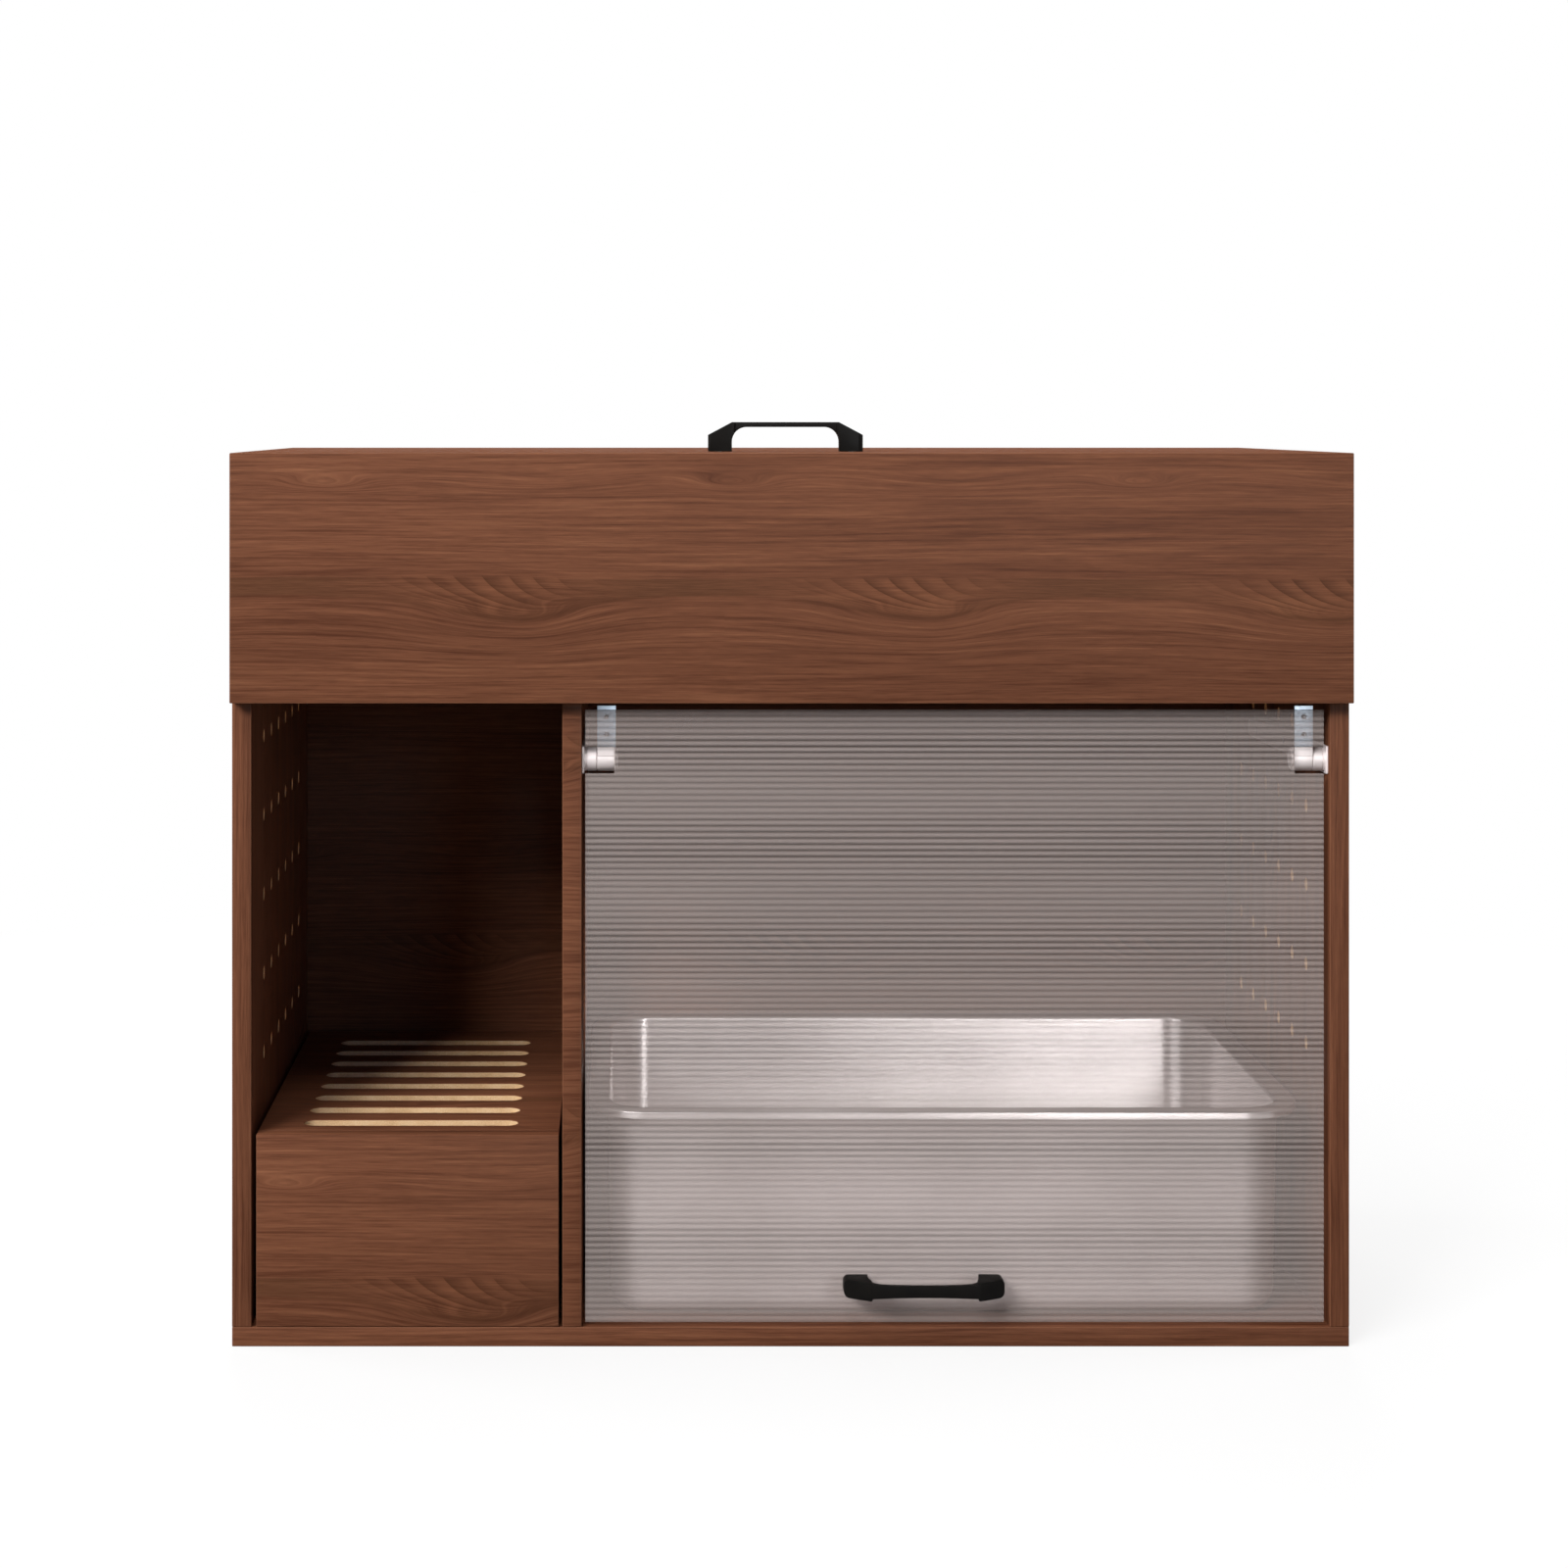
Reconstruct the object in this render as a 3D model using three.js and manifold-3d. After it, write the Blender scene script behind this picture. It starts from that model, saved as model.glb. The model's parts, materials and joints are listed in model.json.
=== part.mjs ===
// Cat litter box cabinet: a two-bay furniture cabinet with a top lid, a flap door of reeded
// sheet in front of a steel litter pan, and a pull-out litter drawer under a slatted deck.
//
// Lengths are in millimetres. X runs to the right, Y to the back, Z up, and the cabinet stands
// on z = 0. While the pieces are made, y = 0 is the plane of the side panels' front edges; the
// whole group is then moved in Y so that the origin lies under the middle of the cabinet's box.

import * as THREE from 'three';
import { mergeVertices } from 'three/addons/utils/BufferGeometryUtils.js';
import loadManifold from 'manifold-3d';

const wasm = await loadManifold();
wasm.setup();

// ---------------------------------------------------------------------------------------------
// Driving dimensions
// ---------------------------------------------------------------------------------------------

// Carcass of laminated board.
const CABINET_WIDTH = 925;
const CABINET_HEIGHT = 740;
const CARCASS_DEPTH = 430;
const BOARD = 16;
const FASCIA_HEIGHT = 206;
const LEFT_BAY_WIDTH = 257.5;

// Round vents in the two side panels.
const VENT_DIAMETER = 12;
const VENT_COLUMNS = 6;
const VENT_ROWS = 5;
const VENT_COLUMN_PITCH = 52;
const VENT_ROW_PITCH = 67.7;
const LEFT_VENT_CENTRE_HEIGHT = 361;
const RIGHT_VENT_CENTRE_HEIGHT = 369;

// Doorway for the cat in the divider, between the bays.
const DOORWAY_WIDTH = 220;
const DOORWAY_HEIGHT = 262;
const DOORWAY_SILL_RISE = 28;
const DOORWAY_SILL_RADIUS = 30;

// Litter drawer with its slatted deck, in the left bay.
const DRAWER_LEFT_GAP = 4;
const DRAWER_RIGHT_GAP = 3;
const DRAWER_BACK_GAP = 10;
const DECK_HEIGHT = 175.4;
const DRAWER_WALL = 12;
const DRAWER_BOTTOM = 4;
const DRAWER_BOTTOM_RISE = 10;
const GROOVE_DEPTH = 5;
const DECK_BOARD = 16;
const SLOT_WIDTH = 20;
const SLOT_LENGTH = 180;
const SLOT_PITCH = 44.4;
const FIRST_SLOT_SETBACK = 41;
const SLOT_BACK_MARGIN = 20;

// Steel litter pan: it fills the right bay but for a gap on each side, which leaves 600 by 400.
const PAN_HEIGHT = 175;
const PAN_WALL = 1.2;
const PAN_RIM = 16;
const PAN_RIM_CORNER = 54;
const PAN_LIP_DROP = 6;
const PAN_DRAFT = 3;
const PAN_FLOOR_RADIUS = 16;
const PAN_LEFT_GAP = 5;
const PAN_RIGHT_GAP = 14.5;
const PAN_FRONT_GAP = 11;
const PAN_BACK_GAP = 3;

// Flap door of reeded sheet.
const DOOR_SHEET = 5;
const REED_COUNT = 100;
const REED_DEPTH = 1;
const DOOR_LEFT_GAP = 3;
const DOOR_RIGHT_GAP = 5;
const DOOR_TOP_GAP = 7;
const DOOR_BOTTOM_GAP = 4;

// Barrel hinges of the flap door, each with a strap along the wall.
const BARREL_RADIUS = 10;
const BARREL_AXIS_DROP = 49;
const BARREL_PIN_RADIUS = 4;
const BARREL_PIN_HEAD_RADIUS = 8;
const BARREL_PIN_HEAD = 1.5;
const BARREL_RING_SETBACK = 3.7;
const BARREL_RING_WIDTH = 0.9;
const BARREL_RING_DEPTH = 0.7;
const STRAP_THICKNESS = 2;
const STRAP_LENGTH = 300;
const STRAP_FRONT_HEIGHT = 23;
const STRAP_BACK_HEIGHT = 14;
const STRAP_TAPER_START = 128;
const STRAP_SETBACK = 5;
const STRAP_SCREW_SETBACKS = [60, 160, 268];
const STRAP_BACK_RADIUS = 5;
const LEAF_WALL_OFFSET = 12.7;
const LEAF_WIDTH = 15.5;
const LEAF_THICKNESS = 2.2;
const LEAF_OVERREACH = 3;
const LEAF_FOOT_ANGLE = Math.PI / 9;
const LEAF_SCREW_DROPS = [9, 23.5];

// Butt hinges of the lid, on the outer back face.
const LID_HINGE_COUNT = 2;
const LID_HINGE_END_DISTANCE = 162.5;
const LID_HINGE_LENGTH = 60;
const LID_HINGE_LEAF = 1.5;
const LID_HINGE_KNUCKLE_RADIUS = 3;
const LID_HINGE_PIN_RADIUS = 1.5;
const LID_HINGE_PIN_HEAD_RADIUS = 2.6;
const LID_HINGE_PIN_HEAD = 1;
const LID_HINGE_FIXED_LEAF_HEIGHT = 22;
const LID_HINGE_SCREW_SPACING = 40;
const LID_HINGE_LEAF_CORNER = 3;

// Bow handles: one on the lid and one on the door.
const HANDLE_LENGTH = 132.2;
const HANDLE_STANDOFF = 25;
const HANDLE_FOOT = 20.1;
const HANDLE_SHOULDER_HEIGHT = 14;
const HANDLE_SHOULDER_RUN = 20.7;
const HANDLE_BAR_THICKNESS = 4.2;
const HANDLE_INNER_RADIUS = 12.6;
const HANDLE_BLOCK_WIDTH = 15;
const HANDLE_BLOCK_CORNER = 4.5;
const HANDLE_NECK_WIDTH = 11.2;
const HANDLE_WAIST_WIDTH = 8.8;
const HANDLE_NECK_RUN = 5;
const HANDLE_SCREW_SPACING = 112;
const HANDLE_BORE_DEPTH = 10;
const LID_HANDLE_SETBACK = 80;
const DOOR_HANDLE_RISE = 32.5;
const DOOR_HANDLE_SHIFT = -26.5;

// Fasteners.
const WOOD_SCREW = { head: 3.1, headHeight: 1.7, shank: 1.6, length: 14 };
const EDGE_SCREW = { head: 2.6, headHeight: 1.4, shank: 1.3, length: 14 };
const LEAF_SCREW = { head: 3.1, headHeight: 1.7, shank: 1.6, length: 5 };
const MACHINE_SCREW_SHANK = 2;
const MACHINE_SCREW_HEAD = 4;
const MACHINE_SCREW_HEAD_HEIGHT = 2.2;
const MACHINE_SCREW_GRIP = 8;
const CAM_RADIUS = 7.5;
const CAM_DEPTH = 12.5;
const CAM_EDGE_DISTANCE = 34;
const FASCIA_CAM_DROPS = [60, 160];
const BACK_CAM_END_DISTANCE = 120;

// Clearances: the running gap is round what moves, turns or is lifted out, and the seat gap
// between faces that are fastened together.
const RUNNING_GAP = 0.3;
const SEAT_GAP = 0.1;
const LID_FRONT_GAP = 1;
const PILOT_OVERRUN = 1;

// Number of facets round a whole turn.
const VENT_SIDES = 12;
const SCREW_SIDES = 8;
const CAM_SIDES = 16;
const BARREL_SIDES = 24;
const KNUCKLE_SIDES = 12;
const PAN_CORNER_STEPS = 6;
const PAN_FLOOR_STEPS = 3;
const SLOT_END_STEPS = 6;
const REED_STEPS = 3;

// ---------------------------------------------------------------------------------------------
// Places worked out from the driving dimensions
// ---------------------------------------------------------------------------------------------

const halfWidth = CABINET_WIDTH / 2;
const innerLeft = -halfWidth + BOARD;
const innerRight = halfWidth - BOARD;
const innerBack = CARCASS_DEPTH - BOARD;
const boardTop = CABINET_HEIGHT - BOARD - RUNNING_GAP;
const fasciaBottom = CABINET_HEIGHT - FASCIA_HEIGHT;
const dividerLeft = innerLeft + LEFT_BAY_WIDTH;
const dividerRight = dividerLeft + BOARD;

const drawer = {
  left: innerLeft + DRAWER_LEFT_GAP,
  right: dividerLeft - DRAWER_RIGHT_GAP,
  front: 0,
  back: innerBack - DRAWER_BACK_GAP,
  bottom: BOARD + RUNNING_GAP,
  sideTop: DECK_HEIGHT - DECK_BOARD - RUNNING_GAP,
};
const drawerCentre = (drawer.left + drawer.right) / 2;

const pan = {
  left: dividerRight + PAN_LEFT_GAP,
  right: innerRight - PAN_RIGHT_GAP,
  front: PAN_FRONT_GAP,
  back: innerBack - PAN_BACK_GAP,
};

const door = {
  left: dividerRight + DOOR_LEFT_GAP,
  right: innerRight - DOOR_RIGHT_GAP,
  bottom: BOARD + DOOR_BOTTOM_GAP,
  top: fasciaBottom - DOOR_TOP_GAP,
};
const doorHandle = {
  x: (door.left + door.right) / 2 + DOOR_HANDLE_SHIFT,
  z: door.bottom + DOOR_HANDLE_RISE,
};
const barrelAxis = {
  y: DOOR_SHEET + RUNNING_GAP + BARREL_RADIUS,
  z: fasciaBottom - BARREL_AXIS_DROP,
};
const leafTop = door.top + LEAF_OVERREACH;
const leafFront = DOOR_SHEET + SEAT_GAP;
const leafBack = leafFront + LEAF_THICKNESS;

const lidHingeAxis = {
  y: CARCASS_DEPTH + RUNNING_GAP + LID_HINGE_KNUCKLE_RADIUS,
  z: boardTop + RUNNING_GAP / 2,
};

// Reach of the whole object in Y, for the origin under the middle of its box.
const frontReach = -RUNNING_GAP - HANDLE_STANDOFF;
const backReach = lidHingeAxis.y + LID_HINGE_KNUCKLE_RADIUS;

// ---------------------------------------------------------------------------------------------
// Materials
// ---------------------------------------------------------------------------------------------

const walnut = { color: '#7a4a35', roughness: 0.55, metalness: 0 };
const walnutDark = { color: '#6b3d2b', roughness: 0.6, metalness: 0 };
const drawerBoard = { color: '#c9a273', roughness: 0.8, metalness: 0 };
const reededSheet = { color: '#c9c2c0', roughness: 0.25, metalness: 0, transparent: true, opacity: 0.6 };
const steel = { color: '#b9b6b4', roughness: 0.28, metalness: 1 };
const satinMetal = { color: '#d8d0ce', roughness: 0.35, metalness: 0.9 };
const zinc = { color: '#a9adb2', roughness: 0.4, metalness: 0.9 };
const blackPaint = { color: '#161412', roughness: 0.45, metalness: 0.3 };

// ---------------------------------------------------------------------------------------------
// Geometry helpers
// ---------------------------------------------------------------------------------------------

const point2 = (x, y) => new THREE.Vector2(x, y);
const point3 = (x, y, z) => new THREE.Vector3(x, y, z);
const along = {
  left: point3(-1, 0, 0),
  right: point3(1, 0, 0),
  front: point3(0, -1, 0),
  back: point3(0, 1, 0),
  down: point3(0, 0, -1),
  up: point3(0, 0, 1),
};

// A box between two corners.
function block([x0, y0, z0], [x1, y1, z1]) {
  const geometry = new THREE.BoxGeometry(x1 - x0, y1 - y0, z1 - z0);
  return geometry.translate((x0 + x1) / 2, (y0 + y1) / 2, (z0 + z1) / 2);
}

// An outline pushed along an axis. It is drawn in (y, z) for axis x, (x, z) for axis y and
// (x, y) for axis z.
function prism(outline, axis, from, to, curveSegments = 8) {
  const settings = { depth: to - from, bevelEnabled: false, curveSegments };
  const geometry = new THREE.ExtrudeGeometry(outline, settings);
  if (axis === 'x') {
    return geometry.rotateX(Math.PI / 2).rotateZ(Math.PI / 2).translate(from, 0, 0);
  }
  if (axis === 'y') {
    return geometry.rotateX(Math.PI / 2).translate(0, to, 0);
  }
  return geometry.translate(0, 0, from);
}

// A profile of [radius, height] pairs, from the bottom up, turned about the Z axis.
function revolve(profile, sides) {
  const points = profile.map(([radius, height]) => point2(radius, height));
  return new THREE.LatheGeometry(points, sides).rotateX(Math.PI / 2);
}

// Geometry made about the origin with +Z up, moved to a point with +Z turned to a direction.
function aimed(geometry, point, direction) {
  const turn = new THREE.Quaternion().setFromUnitVectors(along.up, direction);
  return geometry.applyQuaternion(turn).translate(point.x, point.y, point.z);
}

function rectangle(x0, y0, x1, y1) {
  return new THREE.Shape([point2(x0, y0), point2(x1, y0), point2(x1, y1), point2(x0, y1)]);
}

function circle(x, y, radius) {
  return new THREE.Path().absarc(x, y, radius, 0, 2 * Math.PI, false);
}

function toSolid(geometry) {
  const bare = geometry.clone();
  bare.deleteAttribute('normal');
  bare.deleteAttribute('uv');
  const welded = mergeVertices(bare, 1e-4);
  const corners = welded.index.array;
  const triangles = [];
  for (let i = 0; i < corners.length; i += 3) {
    const [a, b, c] = [corners[i], corners[i + 1], corners[i + 2]];
    if (a !== b && b !== c && c !== a) triangles.push(a, b, c);
  }
  return new wasm.Manifold(new wasm.Mesh({
    numProp: 3,
    vertProperties: new Float32Array(welded.attributes.position.array),
    triVerts: new Uint32Array(triangles),
  }));
}

function toGeometry(solid) {
  const mesh = solid.getMesh();
  const geometry = new THREE.BufferGeometry();
  geometry.setAttribute('position', new THREE.BufferAttribute(mesh.vertProperties, 3));
  geometry.setIndex(new THREE.BufferAttribute(mesh.triVerts, 1));
  geometry.computeVertexNormals();
  return geometry;
}

const combine = (geometry, tools, method) => (
  toGeometry(tools.reduce((solid, tool) => solid[method](toSolid(tool)), toSolid(geometry)))
);
const cut = (geometry, tools) => combine(geometry, tools, 'subtract');
const join = (geometry, parts) => combine(geometry, parts, 'add');
const intersect = (geometry, parts) => combine(geometry, parts, 'intersect');

// ---------------------------------------------------------------------------------------------
// The scene graph: one group per body that moves
// ---------------------------------------------------------------------------------------------

const cabinetGroup = new THREE.Group();
const lidGroup = new THREE.Group();
const doorGroup = new THREE.Group();
const drawerGroup = new THREE.Group();
const deckGroup = new THREE.Group();
const panGroup = new THREE.Group();
drawerGroup.add(deckGroup);

function add(group, name, geometry, look) {
  const mesh = new THREE.Mesh(geometry, new THREE.MeshStandardMaterial(look));
  mesh.name = name;
  group.add(mesh);
  return mesh;
}

function addAimed(group, name, geometry, look, point, direction) {
  const mesh = add(group, name, geometry, look);
  mesh.position.copy(point);
  mesh.quaternion.setFromUnitVectors(along.up, direction);
}

// ---------------------------------------------------------------------------------------------
// Fasteners. Each is made with its head up at z = 0, and the hole for it is the same form grown
// by the running gap.
// ---------------------------------------------------------------------------------------------

function countersunkScrew({ head, headHeight, shank, length }, growth = 0) {
  const overrun = growth > 0 ? PILOT_OVERRUN : 0;
  return revolve([
    [0, -length - overrun],
    [shank + growth, -length - overrun],
    [shank + growth, -headHeight],
    [head + growth, growth],
    [0, growth],
  ], SCREW_SIDES);
}

function machineScrew(length) {
  return revolve([
    [0, -length],
    [MACHINE_SCREW_SHANK, -length],
    [MACHINE_SCREW_SHANK, 0],
    [MACHINE_SCREW_HEAD, 0],
    [MACHINE_SCREW_HEAD, MACHINE_SCREW_HEAD_HEIGHT / 2],
    [MACHINE_SCREW_HEAD / 2, MACHINE_SCREW_HEAD_HEIGHT],
    [0, MACHINE_SCREW_HEAD_HEIGHT],
  ], SCREW_SIDES);
}

// A round bore from below the face at the origin's level to just above it.
function bore(radius, depth, sides = SCREW_SIDES) {
  return revolve([
    [0, -depth],
    [radius, -depth],
    [radius, PILOT_OVERRUN],
    [0, PILOT_OVERRUN],
  ], sides);
}

// Cam lock: a turned disc, flush with the board's face.
function camLock() {
  return revolve([
    [0, -CAM_DEPTH],
    [CAM_RADIUS, -CAM_DEPTH],
    [CAM_RADIUS, 0],
    [0, 0],
  ], CAM_SIDES);
}

const camBore = () => bore(CAM_RADIUS + RUNNING_GAP, CAM_DEPTH + RUNNING_GAP, CAM_SIDES);
const screwHole = (spec, point, direction) => (
  aimed(countersunkScrew(spec, RUNNING_GAP), point, direction)
);

// Cam locks that pull the fascia to the side panels, and the back panel to them.
const fasciaCams = [];
const backCams = [];
for (const [side, x, inward] of [['left', innerLeft, along.right], ['right', innerRight, along.left]]) {
  FASCIA_CAM_DROPS.forEach((drop, i) => fasciaCams.push({
    name: `fascia_cam_lock_${side}_${i + 1}`,
    side,
    point: point3(x, CAM_EDGE_DISTANCE, CABINET_HEIGHT - drop),
    direction: inward,
  }));
  [BACK_CAM_END_DISTANCE, CABINET_HEIGHT - BACK_CAM_END_DISTANCE].forEach((height, i) => backCams.push({
    name: `back_cam_lock_${side}_${i + 1}`,
    point: point3(x + inward.x * CAM_EDGE_DISTANCE, CARCASS_DEPTH, height),
    direction: along.back,
  }));
}
for (const cam of [...fasciaCams, ...backCams]) {
  addAimed(cabinetGroup, cam.name, camLock(), zinc, cam.point, cam.direction);
}

// ---------------------------------------------------------------------------------------------
// Door hinges: a fixed strap and barrel on each wall, a pin, and a leaf on the door's back
// ---------------------------------------------------------------------------------------------

const strapBottom = barrelAxis.z - STRAP_FRONT_HEIGHT / 2;
const leafScrewHeights = LEAF_SCREW_DROPS.map((drop) => leafTop - drop);

// Height of the middle of the strap, a given distance behind the front edges.
function strapMiddle(y) {
  const taper = Math.max(0, (y - STRAP_TAPER_START) / (STRAP_LENGTH - STRAP_TAPER_START));
  return strapBottom + (STRAP_FRONT_HEIGHT - taper * (STRAP_FRONT_HEIGHT - STRAP_BACK_HEIGHT)) / 2;
}

function strapOutline() {
  const back = STRAP_SETBACK + STRAP_LENGTH;
  const radius = STRAP_BACK_RADIUS;
  const outline = new THREE.Shape();
  outline.moveTo(STRAP_SETBACK, strapBottom);
  outline.lineTo(back - radius, strapBottom);
  outline.absarc(back - radius, strapBottom + radius, radius, -Math.PI / 2, 0, false);
  outline.lineTo(back, strapBottom + STRAP_BACK_HEIGHT - radius);
  outline.absarc(back - radius, strapBottom + STRAP_BACK_HEIGHT - radius, radius, 0, Math.PI / 2, false);
  outline.lineTo(STRAP_TAPER_START, strapBottom + STRAP_FRONT_HEIGHT);
  outline.lineTo(STRAP_SETBACK, strapBottom + STRAP_FRONT_HEIGHT);
  return outline;
}

// Leaf outline in (y, z): a plate on the door's back that runs into a ring round the pin.
function leafOutline() {
  const startAngle = Math.PI - Math.acos((barrelAxis.y - leafBack) / BARREL_RADIUS);
  const plateFoot = barrelAxis.z + BARREL_RADIUS * Math.sin(LEAF_FOOT_ANGLE);
  const endAngle = -Math.PI - LEAF_FOOT_ANGLE;
  const outline = new THREE.Shape();
  outline.moveTo(leafFront, plateFoot);
  outline.lineTo(leafFront, leafTop);
  outline.lineTo(leafBack, leafTop);
  outline.absarc(barrelAxis.y, barrelAxis.z, BARREL_RADIUS, startAngle, endAngle, true);
  outline.holes.push(circle(barrelAxis.y, barrelAxis.z, BARREL_PIN_RADIUS + RUNNING_GAP));
  return outline;
}

// Fixed half of the barrel, as a ring about the X axis that starts at the wall and points inward.
function fixedBarrel(wallX, inward) {
  const innerRadius = BARREL_PIN_RADIUS + RUNNING_GAP;
  const ringFrom = BARREL_RING_SETBACK;
  const ringTo = BARREL_RING_SETBACK + BARREL_RING_WIDTH;
  const end = LEAF_WALL_OFFSET - RUNNING_GAP;
  const profile = [
    [innerRadius, 0],
    [BARREL_RADIUS, 0],
    [BARREL_RADIUS, ringFrom],
    [BARREL_RADIUS - BARREL_RING_DEPTH, ringFrom],
    [BARREL_RADIUS - BARREL_RING_DEPTH, ringTo],
    [BARREL_RADIUS, ringTo],
    [BARREL_RADIUS, end],
    [innerRadius, end],
    [innerRadius, 0],
  ];
  return aimed(revolve(profile, BARREL_SIDES), point3(wallX, barrelAxis.y, barrelAxis.z), inward);
}

function barrelPin() {
  const shaft = LEAF_WALL_OFFSET + LEAF_WIDTH + RUNNING_GAP;
  return revolve([
    [0, 0],
    [BARREL_PIN_RADIUS, 0],
    [BARREL_PIN_RADIUS, shaft],
    [BARREL_PIN_HEAD_RADIUS, shaft],
    [BARREL_PIN_HEAD_RADIUS, shaft + BARREL_PIN_HEAD],
    [0, shaft + BARREL_PIN_HEAD],
  ], BARREL_SIDES);
}

const doorHinges = [
  { side: 'left', wall: dividerRight + SEAT_GAP, inward: along.right },
  { side: 'right', wall: innerRight - SEAT_GAP, inward: along.left },
].map((hinge) => {
  const reach = (distance) => hinge.wall + hinge.inward.x * distance;
  const edges = [reach(LEAF_WALL_OFFSET), reach(LEAF_WALL_OFFSET + LEAF_WIDTH)];
  const leafMiddle = (edges[0] + edges[1]) / 2;
  return {
    ...hinge,
    reach,
    leafFrom: Math.min(...edges),
    leafTo: Math.max(...edges),
    strapScrews: STRAP_SCREW_SETBACKS.map((y) => point3(reach(STRAP_THICKNESS), y, strapMiddle(y))),
    leafScrews: leafScrewHeights.map((z) => point3(leafMiddle, leafBack, z)),
  };
});

for (const hinge of doorHinges) {
  const { side, wall, inward, reach } = hinge;
  const pinBore = aimed(
    bore(BARREL_PIN_RADIUS + RUNNING_GAP, STRAP_THICKNESS + PILOT_OVERRUN, BARREL_SIDES),
    point3(reach(STRAP_THICKNESS), barrelAxis.y, barrelAxis.z),
    inward,
  );
  const plateEdges = [wall, reach(STRAP_THICKNESS)].sort((a, b) => a - b);
  const plate = prism(strapOutline(), 'x', plateEdges[0], plateEdges[1]);
  const strap = cut(join(plate, [fixedBarrel(wall, inward)]), [
    pinBore,
    ...hinge.strapScrews.map((point) => screwHole(WOOD_SCREW, point, inward)),
  ]);
  add(cabinetGroup, `door_hinge_strap_${side}`, strap, satinMetal);
  const pinSeat = point3(wall, barrelAxis.y, barrelAxis.z);
  addAimed(cabinetGroup, `door_hinge_pin_${side}`, barrelPin(), satinMetal, pinSeat, inward);
  hinge.strapScrews.forEach((point, i) => {
    const name = `strap_screw_${side}_${i + 1}`;
    addAimed(cabinetGroup, name, countersunkScrew(WOOD_SCREW), zinc, point, inward);
  });

  const leaf = cut(
    prism(leafOutline(), 'x', hinge.leafFrom, hinge.leafTo, BARREL_SIDES / 2),
    hinge.leafScrews.map((point) => screwHole(LEAF_SCREW, point, along.back)),
  );
  add(doorGroup, `door_hinge_leaf_${side}`, leaf, satinMetal);
  hinge.leafScrews.forEach((point, i) => {
    const name = `leaf_screw_${side}_${i + 1}`;
    addAimed(doorGroup, name, countersunkScrew(LEAF_SCREW), zinc, point, along.back);
  });
}

// ---------------------------------------------------------------------------------------------
// Lid hinges: two butt hinges across the joint of the back panel and the lid
// ---------------------------------------------------------------------------------------------

const lidHingeSpacing = (CABINET_WIDTH - 2 * LID_HINGE_END_DISTANCE) / Math.max(1, LID_HINGE_COUNT - 1);
const lidHingeXs = Array.from({ length: LID_HINGE_COUNT }, (_, i) => (
  (i - (LID_HINGE_COUNT - 1) / 2) * lidHingeSpacing
));
const leafInset = LID_HINGE_KNUCKLE_RADIUS + RUNNING_GAP;
const lidLeafFront = CARCASS_DEPTH + SEAT_GAP;
const lidLeafBack = lidLeafFront + LID_HINGE_LEAF;
const fixedLeaf = {
  from: lidHingeAxis.z - LID_HINGE_FIXED_LEAF_HEIGHT,
  to: lidHingeAxis.z - leafInset,
};
const movingLeaf = {
  from: lidHingeAxis.z + leafInset,
  to: CABINET_HEIGHT - RUNNING_GAP,
};

// A leaf's flat plate in (x, z), with the two corners away from the knuckles rounded.
function lidLeafPlate(x, { from, to }, away) {
  const left = x - LID_HINGE_LENGTH / 2;
  const right = x + LID_HINGE_LENGTH / 2;
  const r = LID_HINGE_LEAF_CORNER;
  const outline = new THREE.Shape();
  if (away === 'down') {
    outline.moveTo(left, to);
    outline.lineTo(left, from + r);
    outline.absarc(left + r, from + r, r, Math.PI, 1.5 * Math.PI, false);
    outline.absarc(right - r, from + r, r, 1.5 * Math.PI, 2 * Math.PI, false);
    outline.lineTo(right, to);
  } else {
    outline.moveTo(right, from);
    outline.lineTo(right, to - r);
    outline.absarc(right - r, to - r, r, 0, 0.5 * Math.PI, false);
    outline.absarc(left + r, to - r, r, 0.5 * Math.PI, Math.PI, false);
    outline.lineTo(left, from);
  }
  return prism(outline, 'y', lidLeafFront, lidLeafBack, 4);
}

// A knuckle: a ring about the pin with a tongue that reaches the plate.
function lidKnuckle(xFrom, xTo, plateEdge) {
  const ring = new THREE.Shape();
  ring.absarc(lidHingeAxis.y, lidHingeAxis.z, LID_HINGE_KNUCKLE_RADIUS, 0, 2 * Math.PI, false);
  const tongue = rectangle(
    lidLeafFront, Math.min(lidHingeAxis.z, plateEdge),
    lidLeafBack, Math.max(lidHingeAxis.z, plateEdge),
  );
  return [prism(ring, 'x', xFrom, xTo, KNUCKLE_SIDES / 2), prism(tongue, 'x', xFrom, xTo)];
}

function lidHingeLeaf(x, leaf, away, spans) {
  const plateEdge = away === 'down' ? leaf.to : leaf.from;
  const knuckles = spans.flatMap(([from, to]) => lidKnuckle(x + from, x + to, plateEdge));
  const screwHoles = leafScrewPoints(x, leaf).map((point) => (
    screwHole(EDGE_SCREW, point, along.back)
  ));
  const pinBore = aimed(
    bore(LID_HINGE_PIN_RADIUS + RUNNING_GAP, LID_HINGE_LENGTH + PILOT_OVERRUN, KNUCKLE_SIDES),
    point3(x + LID_HINGE_LENGTH / 2, lidHingeAxis.y, lidHingeAxis.z),
    along.right,
  );
  return cut(join(lidLeafPlate(x, leaf, away), knuckles), [pinBore, ...screwHoles]);
}

function leafScrewPoints(x, leaf) {
  const z = (leaf.from + leaf.to) / 2;
  return [-0.5, 0.5].map((share) => (
    point3(x + share * LID_HINGE_SCREW_SPACING, lidLeafBack, z)
  ));
}

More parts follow.
